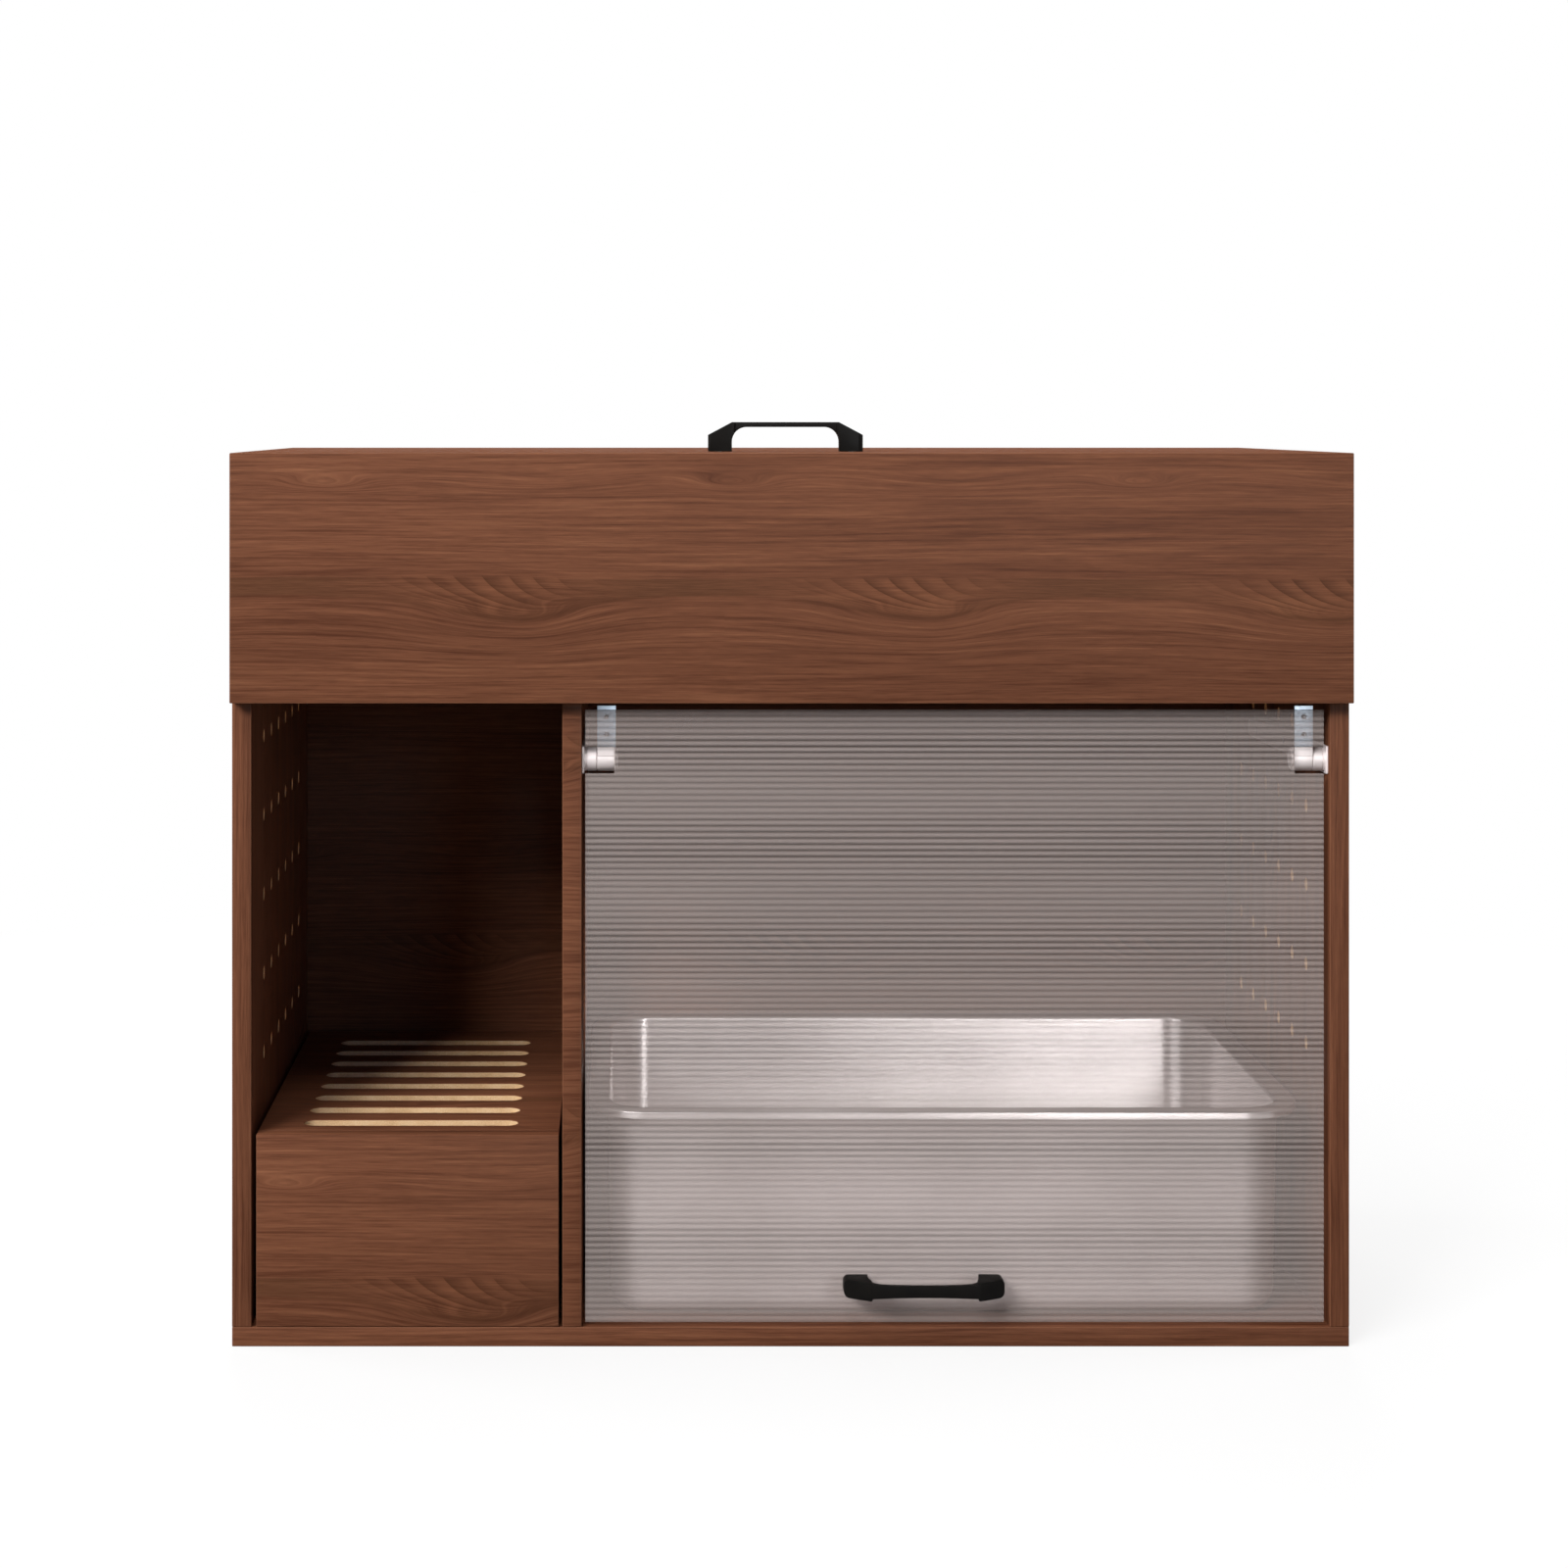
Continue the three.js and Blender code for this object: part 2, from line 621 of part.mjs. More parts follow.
function lidHingePin() {
  const half = LID_HINGE_LENGTH / 2 + RUNNING_GAP;
  return revolve([
    [0, -half - LID_HINGE_PIN_HEAD],
    [LID_HINGE_PIN_HEAD_RADIUS, -half - LID_HINGE_PIN_HEAD],
    [LID_HINGE_PIN_HEAD_RADIUS, -half],
    [LID_HINGE_PIN_RADIUS, -half],
    [LID_HINGE_PIN_RADIUS, half],
    [LID_HINGE_PIN_HEAD_RADIUS, half],
    [LID_HINGE_PIN_HEAD_RADIUS, half + LID_HINGE_PIN_HEAD],
    [0, half + LID_HINGE_PIN_HEAD],
  ], KNUCKLE_SIDES);
}

const third = LID_HINGE_LENGTH / 6;
const fixedSpans = [[-3 * third, -third - RUNNING_GAP], [third + RUNNING_GAP, 3 * third]];
const movingSpans = [[-third, third]];
const fixedLeafScrews = lidHingeXs.flatMap((x) => leafScrewPoints(x, fixedLeaf));
const movingLeafScrews = lidHingeXs.flatMap((x) => leafScrewPoints(x, movingLeaf));

lidHingeXs.forEach((x, i) => {
  const fixed = lidHingeLeaf(x, fixedLeaf, 'down', fixedSpans);
  const moving = lidHingeLeaf(x, movingLeaf, 'up', movingSpans);
  const pinMiddle = point3(x, lidHingeAxis.y, lidHingeAxis.z);
  add(cabinetGroup, `lid_hinge_fixed_leaf_${i + 1}`, fixed, satinMetal);
  add(lidGroup, `lid_hinge_moving_leaf_${i + 1}`, moving, satinMetal);
  addAimed(cabinetGroup, `lid_hinge_pin_${i + 1}`, lidHingePin(), satinMetal, pinMiddle, along.right);
});
for (const [group, label, points] of [
  [cabinetGroup, 'back', fixedLeafScrews],
  [lidGroup, 'lid', movingLeafScrews],
]) {
  points.forEach((point, i) => {
    const name = `lid_hinge_screw_${label}_${i + 1}`;
    addAimed(group, name, countersunkScrew(EDGE_SCREW), zinc, point, along.back);
  });
}

// ---------------------------------------------------------------------------------------------
// Carcass panels
// ---------------------------------------------------------------------------------------------

function ventedSide(side) {
  const outline = rectangle(0, BOARD + SEAT_GAP, CARCASS_DEPTH, boardTop);
  const centreHeight = side === 'left' ? LEFT_VENT_CENTRE_HEIGHT : RIGHT_VENT_CENTRE_HEIGHT;
  for (let column = 0; column < VENT_COLUMNS; column += 1) {
    for (let row = 0; row < VENT_ROWS; row += 1) {
      const y = CARCASS_DEPTH / 2 + (column - (VENT_COLUMNS - 1) / 2) * VENT_COLUMN_PITCH;
      const z = centreHeight + (row - (VENT_ROWS - 1) / 2) * VENT_ROW_PITCH;
      outline.holes.push(circle(y, z, VENT_DIAMETER / 2));
    }
  }
  const [from, to] = side === 'left' ? [-halfWidth, innerLeft] : [innerRight, halfWidth];
  return prism(outline, 'x', from, to, VENT_SIDES / 2);
}

const strapScrewHoles = (side) => {
  const hinge = doorHinges.find((candidate) => candidate.side === side);
  return hinge.strapScrews.map((point) => screwHole(WOOD_SCREW, point, hinge.inward));
};
const camBores = (cams) => cams.map((cam) => aimed(camBore(), cam.point, cam.direction));
const camsOf = (side) => fasciaCams.filter((cam) => cam.side === side);

// Divider with the arched doorway that lets the cat step from the deck into the pan.
function dividerOutline() {
  const outline = rectangle(0, BOARD + SEAT_GAP, innerBack - SEAT_GAP, boardTop);
  const centre = CARCASS_DEPTH / 2;
  const half = DOORWAY_WIDTH / 2;
  const sill = DECK_HEIGHT + DOORWAY_SILL_RISE;
  const spring = sill + DOORWAY_HEIGHT - half;
  const r = DOORWAY_SILL_RADIUS;
  const doorway = new THREE.Path();
  doorway.moveTo(centre - half + r, sill);
  doorway.lineTo(centre + half - r, sill);
  doorway.absarc(centre + half - r, sill + r, r, -Math.PI / 2, 0, false);
  doorway.absarc(centre, spring, half, 0, Math.PI, false);
  doorway.absarc(centre - half + r, sill + r, r, Math.PI, 1.5 * Math.PI, false);
  outline.holes.push(doorway);
  return outline;
}

const bottomPanel = block([-halfWidth, 0, 0], [halfWidth, CARCASS_DEPTH, BOARD]);
const backPanel = block(
  [innerLeft + SEAT_GAP, innerBack, BOARD + SEAT_GAP],
  [innerRight - SEAT_GAP, CARCASS_DEPTH, boardTop],
);
const fascia = block(
  [-halfWidth, -BOARD - SEAT_GAP, fasciaBottom],
  [halfWidth, -SEAT_GAP, CABINET_HEIGHT],
);

add(cabinetGroup, 'bottom_panel', bottomPanel, walnut);
add(cabinetGroup, 'left_side_panel', cut(ventedSide('left'), camBores(camsOf('left'))), walnut);
add(cabinetGroup, 'right_side_panel', cut(ventedSide('right'), [
  ...camBores(camsOf('right')),
  ...strapScrewHoles('right'),
]), walnut);
add(cabinetGroup, 'divider_panel', cut(
  prism(dividerOutline(), 'x', dividerLeft, dividerRight, 12),
  strapScrewHoles('left'),
), walnut);
add(cabinetGroup, 'back_panel', cut(backPanel, [
  ...camBores(backCams),
  ...fixedLeafScrews.map((point) => screwHole(EDGE_SCREW, point, along.back)),
]), walnut);
add(cabinetGroup, 'front_fascia', fascia, walnut);

// ---------------------------------------------------------------------------------------------
// Bow handles: the side view and the waisted front view, each pushed through, and their overlap
// ---------------------------------------------------------------------------------------------

function handleSideOutline() {
  const half = HANDLE_LENGTH / 2;
  const inner = half - HANDLE_FOOT;
  const underside = HANDLE_STANDOFF - HANDLE_BAR_THICKNESS;
  const r = HANDLE_INNER_RADIUS;
  const outline = new THREE.Shape();
  outline.moveTo(-half, 0);
  outline.lineTo(-inner, 0);
  outline.absarc(-inner + r, underside - r, r, Math.PI, Math.PI / 2, true);
  outline.absarc(inner - r, underside - r, r, Math.PI / 2, 0, true);
  outline.lineTo(inner, 0);
  outline.lineTo(half, 0);
  outline.lineTo(half, HANDLE_SHOULDER_HEIGHT);
  outline.lineTo(half - HANDLE_SHOULDER_RUN, HANDLE_STANDOFF);
  outline.lineTo(-half + HANDLE_SHOULDER_RUN, HANDLE_STANDOFF);
  outline.lineTo(-half, HANDLE_SHOULDER_HEIGHT);
  return outline;
}

function handleFrontOutline() {
  const half = HANDLE_LENGTH / 2;
  const wide = HANDLE_BLOCK_WIDTH / 2;
  const neck = HANDLE_NECK_WIDTH / 2;
  const waistControl = HANDLE_WAIST_WIDTH - neck;
  const blockEnd = half - HANDLE_FOOT;
  const neckEnd = blockEnd - HANDLE_NECK_RUN;
  const r = HANDLE_BLOCK_CORNER;
  const outline = new THREE.Shape();
  outline.moveTo(neckEnd, -neck);
  outline.bezierCurveTo(blockEnd, -neck, neckEnd, -wide, blockEnd, -wide);
  outline.absarc(half - r, -wide + r, r, -Math.PI / 2, 0, false);
  outline.absarc(half - r, wide - r, r, 0, Math.PI / 2, false);
  outline.lineTo(blockEnd, wide);
  outline.bezierCurveTo(neckEnd, wide, blockEnd, neck, neckEnd, neck);
  outline.quadraticCurveTo(0, waistControl, -neckEnd, neck);
  outline.bezierCurveTo(-blockEnd, neck, -neckEnd, wide, -blockEnd, wide);
  outline.absarc(-half + r, wide - r, r, Math.PI / 2, Math.PI, false);
  outline.absarc(-half + r, -wide + r, r, Math.PI, 1.5 * Math.PI, false);
  outline.lineTo(-blockEnd, -wide);
  outline.bezierCurveTo(-neckEnd, -wide, -blockEnd, -neck, -neckEnd, -neck);
  outline.quadraticCurveTo(0, -waistControl, neckEnd, -neck);
  return outline;
}

const handleScrewXs = [-HANDLE_SCREW_SPACING / 2, HANDLE_SCREW_SPACING / 2];

function bowHandle() {
  const side = prism(handleSideOutline(), 'y', -HANDLE_BLOCK_WIDTH, HANDLE_BLOCK_WIDTH);
  const front = prism(handleFrontOutline(), 'z', -1, HANDLE_STANDOFF + 1, 6);
  const bores = handleScrewXs.map((x) => aimed(
    bore(MACHINE_SCREW_SHANK + RUNNING_GAP, HANDLE_BORE_DEPTH),
    point3(x, 0, 0),
    along.down,
  ));
  return cut(intersect(side, [front]), bores);
}

// A machine screw from behind a board of a given thickness into each foot of a handle.
const throughBore = (point, direction, thickness) => aimed(
  bore(MACHINE_SCREW_SHANK + RUNNING_GAP, thickness + PILOT_OVERRUN),
  point,
  direction,
);

// ---------------------------------------------------------------------------------------------
// Lid
// ---------------------------------------------------------------------------------------------

const lidBottom = CABINET_HEIGHT - BOARD;
const lidHandleScrews = handleScrewXs.map((x) => point3(x, LID_HANDLE_SETBACK, lidBottom));
const lidPanel = block([-halfWidth, LID_FRONT_GAP, lidBottom], [halfWidth, CARCASS_DEPTH, CABINET_HEIGHT]);
add(lidGroup, 'lid_panel', cut(lidPanel, [
  ...movingLeafScrews.map((point) => screwHole(EDGE_SCREW, point, along.back)),
  ...lidHandleScrews.map((point) => throughBore(point, along.down, BOARD)),
]), walnut);
add(lidGroup, 'lid_handle', bowHandle(), blackPaint)
  .position.set(0, LID_HANDLE_SETBACK, CABINET_HEIGHT + RUNNING_GAP);
lidHandleScrews.forEach((point, i) => {
  const screw = machineScrew(BOARD + MACHINE_SCREW_GRIP);
  addAimed(lidGroup, `lid_handle_screw_${i + 1}`, screw, zinc, point, along.down);
});

// ---------------------------------------------------------------------------------------------
// Flap door
// ---------------------------------------------------------------------------------------------

// Section of the sheet in (y, z): a flat back, and a front of round reeds side by side.
function reededOutline() {
  const outline = new THREE.Shape();
  const pitch = (door.top - door.bottom) / REED_COUNT;
  outline.moveTo(DOOR_SHEET, door.bottom);
  outline.lineTo(DOOR_SHEET, door.top);
  for (let reed = 0; reed < REED_COUNT; reed += 1) {
    for (let step = 0; step < REED_STEPS; step += 1) {
      const share = step / REED_STEPS;
      const z = door.top - (reed + share) * pitch;
      outline.lineTo(REED_DEPTH * (1 - Math.sin(Math.PI * share)), z);
    }
  }
  outline.lineTo(REED_DEPTH, door.bottom);
  return outline;
}

const doorHandleScrews = handleScrewXs.map((x) => (
  point3(doorHandle.x + x, DOOR_SHEET, doorHandle.z)
));
add(doorGroup, 'reeded_door_sheet', cut(
  prism(reededOutline(), 'x', door.left, door.right),
  [
    ...doorHinges.flatMap((hinge) => hinge.leafScrews).map((point) => (
      screwHole(LEAF_SCREW, point, along.back)
    )),
    ...doorHandleScrews.map((point) => throughBore(point, along.back, DOOR_SHEET)),
  ],
), reededSheet);
const doorHandleMesh = add(doorGroup, 'door_handle', bowHandle(), blackPaint);
doorHandleMesh.position.set(doorHandle.x, -RUNNING_GAP, doorHandle.z);
doorHandleMesh.rotation.x = Math.PI / 2;
doorHandleScrews.forEach((point, i) => {
  const screw = machineScrew(DOOR_SHEET + MACHINE_SCREW_GRIP);
  addAimed(doorGroup, `door_handle_screw_${i + 1}`, screw, zinc, point, along.back);
});

// ---------------------------------------------------------------------------------------------
// Litter drawer and its slatted deck
// ---------------------------------------------------------------------------------------------

const groove = {
  from: drawer.bottom + DRAWER_BOTTOM_RISE,
  to: drawer.bottom + DRAWER_BOTTOM_RISE + DRAWER_BOTTOM + 2 * RUNNING_GAP,
};

// A drawer wall's upright section between its outer and inner face, with the groove for the
// drawer's bottom in the inner face.
function groovedSection(outer, inner, top) {
  const grooveEnd = inner + Math.sign(outer - inner) * GROOVE_DEPTH;
  return new THREE.Shape([
    point2(outer, drawer.bottom),
    point2(inner, drawer.bottom),
    point2(inner, groove.from),
    point2(grooveEnd, groove.from),
    point2(grooveEnd, groove.to),
    point2(inner, groove.to),
    point2(inner, top),
    point2(outer, top),
  ]);
}

const drawerInner = {
  left: drawer.left + DRAWER_WALL,
  right: drawer.right - DRAWER_WALL,
  front: drawer.front + BOARD,
  back: drawer.back - DRAWER_WALL,
};
const grooveReach = GROOVE_DEPTH - RUNNING_GAP;

add(drawerGroup, 'drawer_front', prism(
  groovedSection(drawer.front, drawerInner.front, DECK_HEIGHT), 'x', drawer.left, drawer.right,
), walnut);
add(drawerGroup, 'drawer_left_side', prism(
  groovedSection(drawer.left, drawerInner.left, drawer.sideTop),
  'y', drawerInner.front + SEAT_GAP, drawer.back,
), walnut);
add(drawerGroup, 'drawer_right_side', prism(
  groovedSection(drawer.right, drawerInner.right, drawer.sideTop),
  'y', drawerInner.front + SEAT_GAP, drawer.back,
), walnut);
add(drawerGroup, 'drawer_back', prism(
  groovedSection(drawer.back, drawerInner.back, drawer.sideTop),
  'x', drawerInner.left + SEAT_GAP, drawerInner.right - SEAT_GAP,
), walnut);
add(drawerGroup, 'drawer_bottom', block(
  [drawerInner.left - grooveReach, drawerInner.front - grooveReach, groove.from + RUNNING_GAP],
  [drawerInner.right + grooveReach, drawerInner.back + grooveReach, groove.to - RUNNING_GAP],
), drawerBoard);

function deckOutline() {
  const outline = rectangle(drawer.left, drawerInner.front + RUNNING_GAP, drawer.right, drawer.back);
  const r = SLOT_WIDTH / 2;
  const straight = SLOT_LENGTH / 2 - r;
  const lastSlot = drawer.back - SLOT_BACK_MARGIN - r;
  for (let y = drawer.front + FIRST_SLOT_SETBACK; y < lastSlot; y += SLOT_PITCH) {
    const slot = new THREE.Path();
    slot.absarc(drawerCentre - straight, y, r, Math.PI / 2, 1.5 * Math.PI, false);
    slot.absarc(drawerCentre + straight, y, r, -Math.PI / 2, Math.PI / 2, false);
    outline.holes.push(slot);
  }
  return outline;
}

add(deckGroup, 'slatted_deck', prism(
  deckOutline(), 'z', DECK_HEIGHT - DECK_BOARD, DECK_HEIGHT, SLOT_END_STEPS,
), walnutDark);

// ---------------------------------------------------------------------------------------------
// Litter pan: rounded rectangles lofted along the section of a rolled rim, a drafted wall and a
// round floor corner, first up the outside and then down the inside
// ---------------------------------------------------------------------------------------------

function panSection() {
  const wallTop = PAN_HEIGHT - PAN_WALL;
  const quarter = Math.PI / 2;
  const floorArc = (inset, radius, level) => (
    Array.from({ length: PAN_FLOOR_STEPS + 1 }, (_, i) => {
      const angle = quarter * (i / PAN_FLOOR_STEPS);
      return { inset: inset + radius * (1 - Math.sin(angle)), z: level + radius * (1 - Math.cos(angle)) };
    })
  );
  const outside = floorArc(PAN_RIM + PAN_DRAFT, PAN_FLOOR_RADIUS, 0);
  const inside = floorArc(PAN_RIM + PAN_DRAFT + PAN_WALL, PAN_FLOOR_RADIUS - PAN_WALL, PAN_WALL);
  return [
    ...outside,
    { inset: PAN_RIM, z: wallTop },
    { inset: PAN_WALL, z: wallTop },
    { inset: PAN_WALL, z: PAN_HEIGHT - PAN_LIP_DROP },
    { inset: 0, z: PAN_HEIGHT - PAN_LIP_DROP },
    { inset: 0, z: wallTop },
    { inset: PAN_WALL, z: PAN_HEIGHT },
    { inset: PAN_RIM, z: PAN_HEIGHT },
    { inset: PAN_RIM + PAN_WALL, z: wallTop - PAN_WALL },
    ...inside.reverse(),
  ];
}

// Points of a rounded rectangle about the origin, anticlockwise.
function roundedRing(halfX, halfY, radius, z) {
  const ring = [];
  [[1, 1], [-1, 1], [-1, -1], [1, -1]].forEach(([signX, signY], corner) => {
    for (let step = 0; step <= PAN_CORNER_STEPS; step += 1) {
      const angle = (corner + step / PAN_CORNER_STEPS) * (Math.PI / 2);
      ring.push(
        signX * (halfX - radius) + radius * Math.cos(angle),
        signY * (halfY - radius) + radius * Math.sin(angle),
        z,
      );
    }
  });
  return ring;
}

function litterPan() {
  const section = panSection();
  const perRing = 4 * (PAN_CORNER_STEPS + 1);
  const halfLength = (pan.right - pan.left) / 2;
  const halfBreadth = (pan.back - pan.front) / 2;
  const positions = section.flatMap(({ inset, z }) => (
    roundedRing(halfLength - inset, halfBreadth - inset, PAN_RIM_CORNER - inset, z)
  ));
  const triangles = [];
  const lastRing = section.length - 1;
  for (let ring = 0; ring < lastRing; ring += 1) {
    for (let i = 0; i < perRing; i += 1) {
      const a = ring * perRing + i;
      const b = ring * perRing + ((i + 1) % perRing);
      triangles.push(a, b, b + perRing, a, b + perRing, a + perRing);
    }
  }
  const bottomCentre = positions.length / 3;
  const floorCentre = bottomCentre + 1;
  positions.push(0, 0, section[0].z, 0, 0, section[lastRing].z);
  for (let i = 0; i < perRing; i += 1) {
    const next = (i + 1) % perRing;
    triangles.push(bottomCentre, next, i);
    triangles.push(floorCentre, lastRing * perRing + i, lastRing * perRing + next);
  }
  const geometry = new THREE.BufferGeometry();
  geometry.setAttribute('position', new THREE.Float32BufferAttribute(positions, 3));
  geometry.setIndex(triangles);
  geometry.computeVertexNormals();
  return geometry;
}

add(panGroup, 'litter_pan', litterPan(), steel).position.set(
  (pan.left + pan.right) / 2,
  (pan.front + pan.back) / 2,
  BOARD + RUNNING_GAP,
);

// ---------------------------------------------------------------------------------------------
// The whole cabinet, with its origin under the middle of its box
// ---------------------------------------------------------------------------------------------

const cabinet = new THREE.Group();
cabinet.add(cabinetGroup, lidGroup, doorGroup, drawerGroup, panGroup);
cabinet.position.y = -(frontReach + backReach) / 2;

export default cabinet;
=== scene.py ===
"""Looks of a cat litter box cabinet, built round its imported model.

Lengths are in metres in the model's frame: X to the right, Y to the back, Z up. Every piece is
made in place, so its object sits at the origin. Places come from the boxes of the model's nodes,
and the sizes of small features are the named values below.
"""

import json
import math

import bmesh
import bpy
from mathutils import Matrix, Vector
from mathutils.geometry import delaunay_2d_cdt

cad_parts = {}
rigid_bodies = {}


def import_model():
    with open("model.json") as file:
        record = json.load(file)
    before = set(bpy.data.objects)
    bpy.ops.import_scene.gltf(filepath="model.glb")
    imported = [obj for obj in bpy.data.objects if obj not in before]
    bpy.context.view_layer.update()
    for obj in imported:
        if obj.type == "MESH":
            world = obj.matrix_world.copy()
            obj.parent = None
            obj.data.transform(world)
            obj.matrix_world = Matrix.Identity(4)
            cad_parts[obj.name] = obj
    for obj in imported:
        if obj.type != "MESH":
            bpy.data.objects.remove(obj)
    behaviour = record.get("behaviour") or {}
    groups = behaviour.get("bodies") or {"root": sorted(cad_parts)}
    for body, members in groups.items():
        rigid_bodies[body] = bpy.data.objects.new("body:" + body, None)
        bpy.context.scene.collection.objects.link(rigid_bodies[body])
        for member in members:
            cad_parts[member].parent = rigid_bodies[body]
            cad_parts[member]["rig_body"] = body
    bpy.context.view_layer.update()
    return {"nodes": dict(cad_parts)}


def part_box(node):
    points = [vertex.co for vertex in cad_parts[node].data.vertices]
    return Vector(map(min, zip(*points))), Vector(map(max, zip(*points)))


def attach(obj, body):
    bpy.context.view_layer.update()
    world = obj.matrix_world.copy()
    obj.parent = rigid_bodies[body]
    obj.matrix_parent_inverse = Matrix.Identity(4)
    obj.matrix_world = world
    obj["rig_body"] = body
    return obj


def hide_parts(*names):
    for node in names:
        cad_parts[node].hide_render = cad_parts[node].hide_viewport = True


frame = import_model()

X, Y, Z = 0, 1, 2
MM = 0.001

# Sizes of small features

EDGE_ROUND = 0.6 * MM
CORNER_ROUND = 0.9 * MM
ROUND_STEPS = 3
SMOOTH_ANGLE = math.radians(40)
RUNNING_GAP = 0.3 * MM
HOLE_OVERRUN = 1 * MM

VENT_RADIUS = 6 * MM
VENT_COLUMNS = 6
VENT_ROWS = 5
VENT_COLUMN_PITCH = 52 * MM
VENT_ROW_PITCH = 67.7 * MM
VENT_CENTRE_HEIGHT = {"left": 361 * MM, "right": 369 * MM}
VENT_SIDES = 32

SLOT_RADIUS = 10 * MM
SLOT_LENGTH = 180 * MM
SLOT_PITCH = 44.4 * MM
SLOT_COUNT = 8
FIRST_SLOT_SETBACK = 41 * MM
SLOT_END_SIDES = 20

DOORWAY_HALF_WIDTH = 110 * MM
DOORWAY_SILL = 203.4 * MM
DOORWAY_TOP = 465.4 * MM
DOORWAY_SILL_RADIUS = 30 * MM

GROOVE_DEPTH = 5 * MM
HARDBOARD_CORNER = 0.5 * MM
HARDBOARD_ROUND = 0.3 * MM

REED_COUNT = 100
REED_DEPTH = 1 * MM
REED_STEPS = 8
NOTCH_REACH = 24 * MM
NOTCH_HALF = 11 * MM
NOTCH_TOOL_REACH = 10 * MM

PAN_WALL = 1.2 * MM
PAN_RIM = 16 * MM
PAN_RIM_CORNER = 54 * MM
PAN_LIP_DROP = 6 * MM
PAN_DRAFT = 3 * MM
PAN_FLOOR_RADIUS = 16 * MM
PAN_CORNER_STEPS = 16
PAN_ARC_STEPS = 8
PAN_SHOULDER_RADIUS = 3 * MM

BARREL_RADIUS = 10 * MM
BARREL_PIN_RADIUS = 4 * MM
BARREL_PIN_HEAD_RADIUS = 8 * MM
BARREL_PIN_HEAD = 1.5 * MM
BARREL_RING_SETBACK = 3.7 * MM
BARREL_RING_WIDTH = 0.9 * MM
BARREL_RING_DEPTH = 0.7 * MM
BARREL_CHAMFER = 0.6 * MM
STRAP_THICKNESS = 2 * MM
STRAP_FRONT_HEIGHT = 23 * MM
STRAP_BACK_HEIGHT = 14 * MM
STRAP_TAPER_RUN = 123 * MM
STRAP_BACK_RADIUS = 5 * MM
STRAP_CORNER = 1 * MM
HINGE_ROUND = 0.35 * MM
LEAF_THICKNESS = 2.2 * MM
LEAF_FOOT_ANGLE = math.pi / 9

LID_HINGE_LENGTH = 60 * MM
LID_KNUCKLE_RADIUS = 3 * MM
LID_PIN_RADIUS = 1.5 * MM
LID_PIN_HEAD_RADIUS = 2.6 * MM
LID_PIN_HEAD = 1 * MM
LID_LEAF_CORNER = 3 * MM
LID_LEAF_THICKNESS = 1.5 * MM
LID_HINGE_ROUND = 0.25 * MM

HANDLE_FOOT = 20.1 * MM
HANDLE_SHOULDER_HEIGHT = 14 * MM
HANDLE_SHOULDER_RUN = 20.7 * MM
HANDLE_BAR_THICKNESS = 4.2 * MM
HANDLE_INNER_RADIUS = 12.6 * MM
HANDLE_BLOCK_CORNER = 4.5 * MM
HANDLE_NECK_WIDTH = 11.2 * MM
HANDLE_WAIST_WIDTH = 8.8 * MM
HANDLE_NECK_RUN = 5 * MM
HANDLE_ROUND = 1.1 * MM
HANDLE_SCREW_BORE = 2.3 * MM
HANDLE_BORE_REACH = 20 * MM

WOOD_SCREW = {"head": 3.1 * MM, "cone": 1.7 * MM, "shank": 1.6 * MM}
EDGE_SCREW = {"head": 2.6 * MM, "cone": 1.4 * MM, "shank": 1.3 * MM}
MACHINE_SCREW = {"head": 4 * MM, "dome": 2.2 * MM, "shank": 2 * MM}
SCREW_TIP = 2 * MM
CAM_RADIUS = 7.5 * MM
RECESS_ARM_SHARE = 0.26
RECESS_FLOOR_SHARE = 0.7
ROUND_SIDES = 48
SCREW_SIDES = 24


# Outlines, as anticlockwise lists of points in a plane

def rectangle(a0, b0, a1, b1):
    return [(a0, b0), (a1, b0), (a1, b1), (a0, b1)]


def arc(a, b, radius, start, end, steps):
    """Points on an arc, its angles in degrees."""
    angles = [math.radians(start + (end - start) * i / steps) for i in range(steps + 1)]
    return [(a + radius * math.cos(t), b + radius * math.sin(t)) for t in angles]


def circle(a, b, radius, sides):
    return arc(a, b, radius, 0, 360, sides)[:-1]


def bezier(start, control_1, control_2, end, steps=10):
    """Points on a cubic curve, without its start."""
    points = []
    for i in range(1, steps + 1):
        t = i / steps
        weights = ((1 - t) ** 3, 3 * t * (1 - t) ** 2, 3 * t * t * (1 - t), t ** 3)
        corners = (start, control_1, control_2, end)
        points.append(tuple(sum(w * p[k] for w, p in zip(weights, corners)) for k in (0, 1)))
    return points


def rounded(points, radius):
    """The outline with its convex right-angled corners rounded."""
    result = []
    count = len(points)
    for i, point in enumerate(points):
        here = Vector(point)
        back = (Vector(points[i - 1]) - here).normalized()
        ahead = (Vector(points[(i + 1) % count]) - here).normalized()
        if ahead.cross(back) < 0.99:
            result.append(point)
            continue
        centre = here + (back + ahead) * radius
        for step in range(ROUND_STEPS + 1):
            angle = math.pi / 2 * step / ROUND_STEPS
            outward = ahead * math.cos(angle) + back * math.sin(angle)
            result.append(tuple(centre - outward * radius))
    return result


def inset(points, distance):
    """The outline moved inward by a distance, with mitred corners."""
    if distance == 0:
        return list(points)
    moved = []
    count = len(points)
    for i, point in enumerate(points):
        here = Vector(point)
        before = (here - Vector(points[i - 1])).normalized()
        after = (Vector(points[(i + 1) % count]) - here).normalized()
        normal_before = Vector((-before.y, before.x))
        normal_after = Vector((-after.y, after.x))
        mitre = (normal_before + normal_after) / (1 + normal_before.dot(normal_after))
        moved.append(tuple(here + mitre * distance))
    return moved


# Meshes

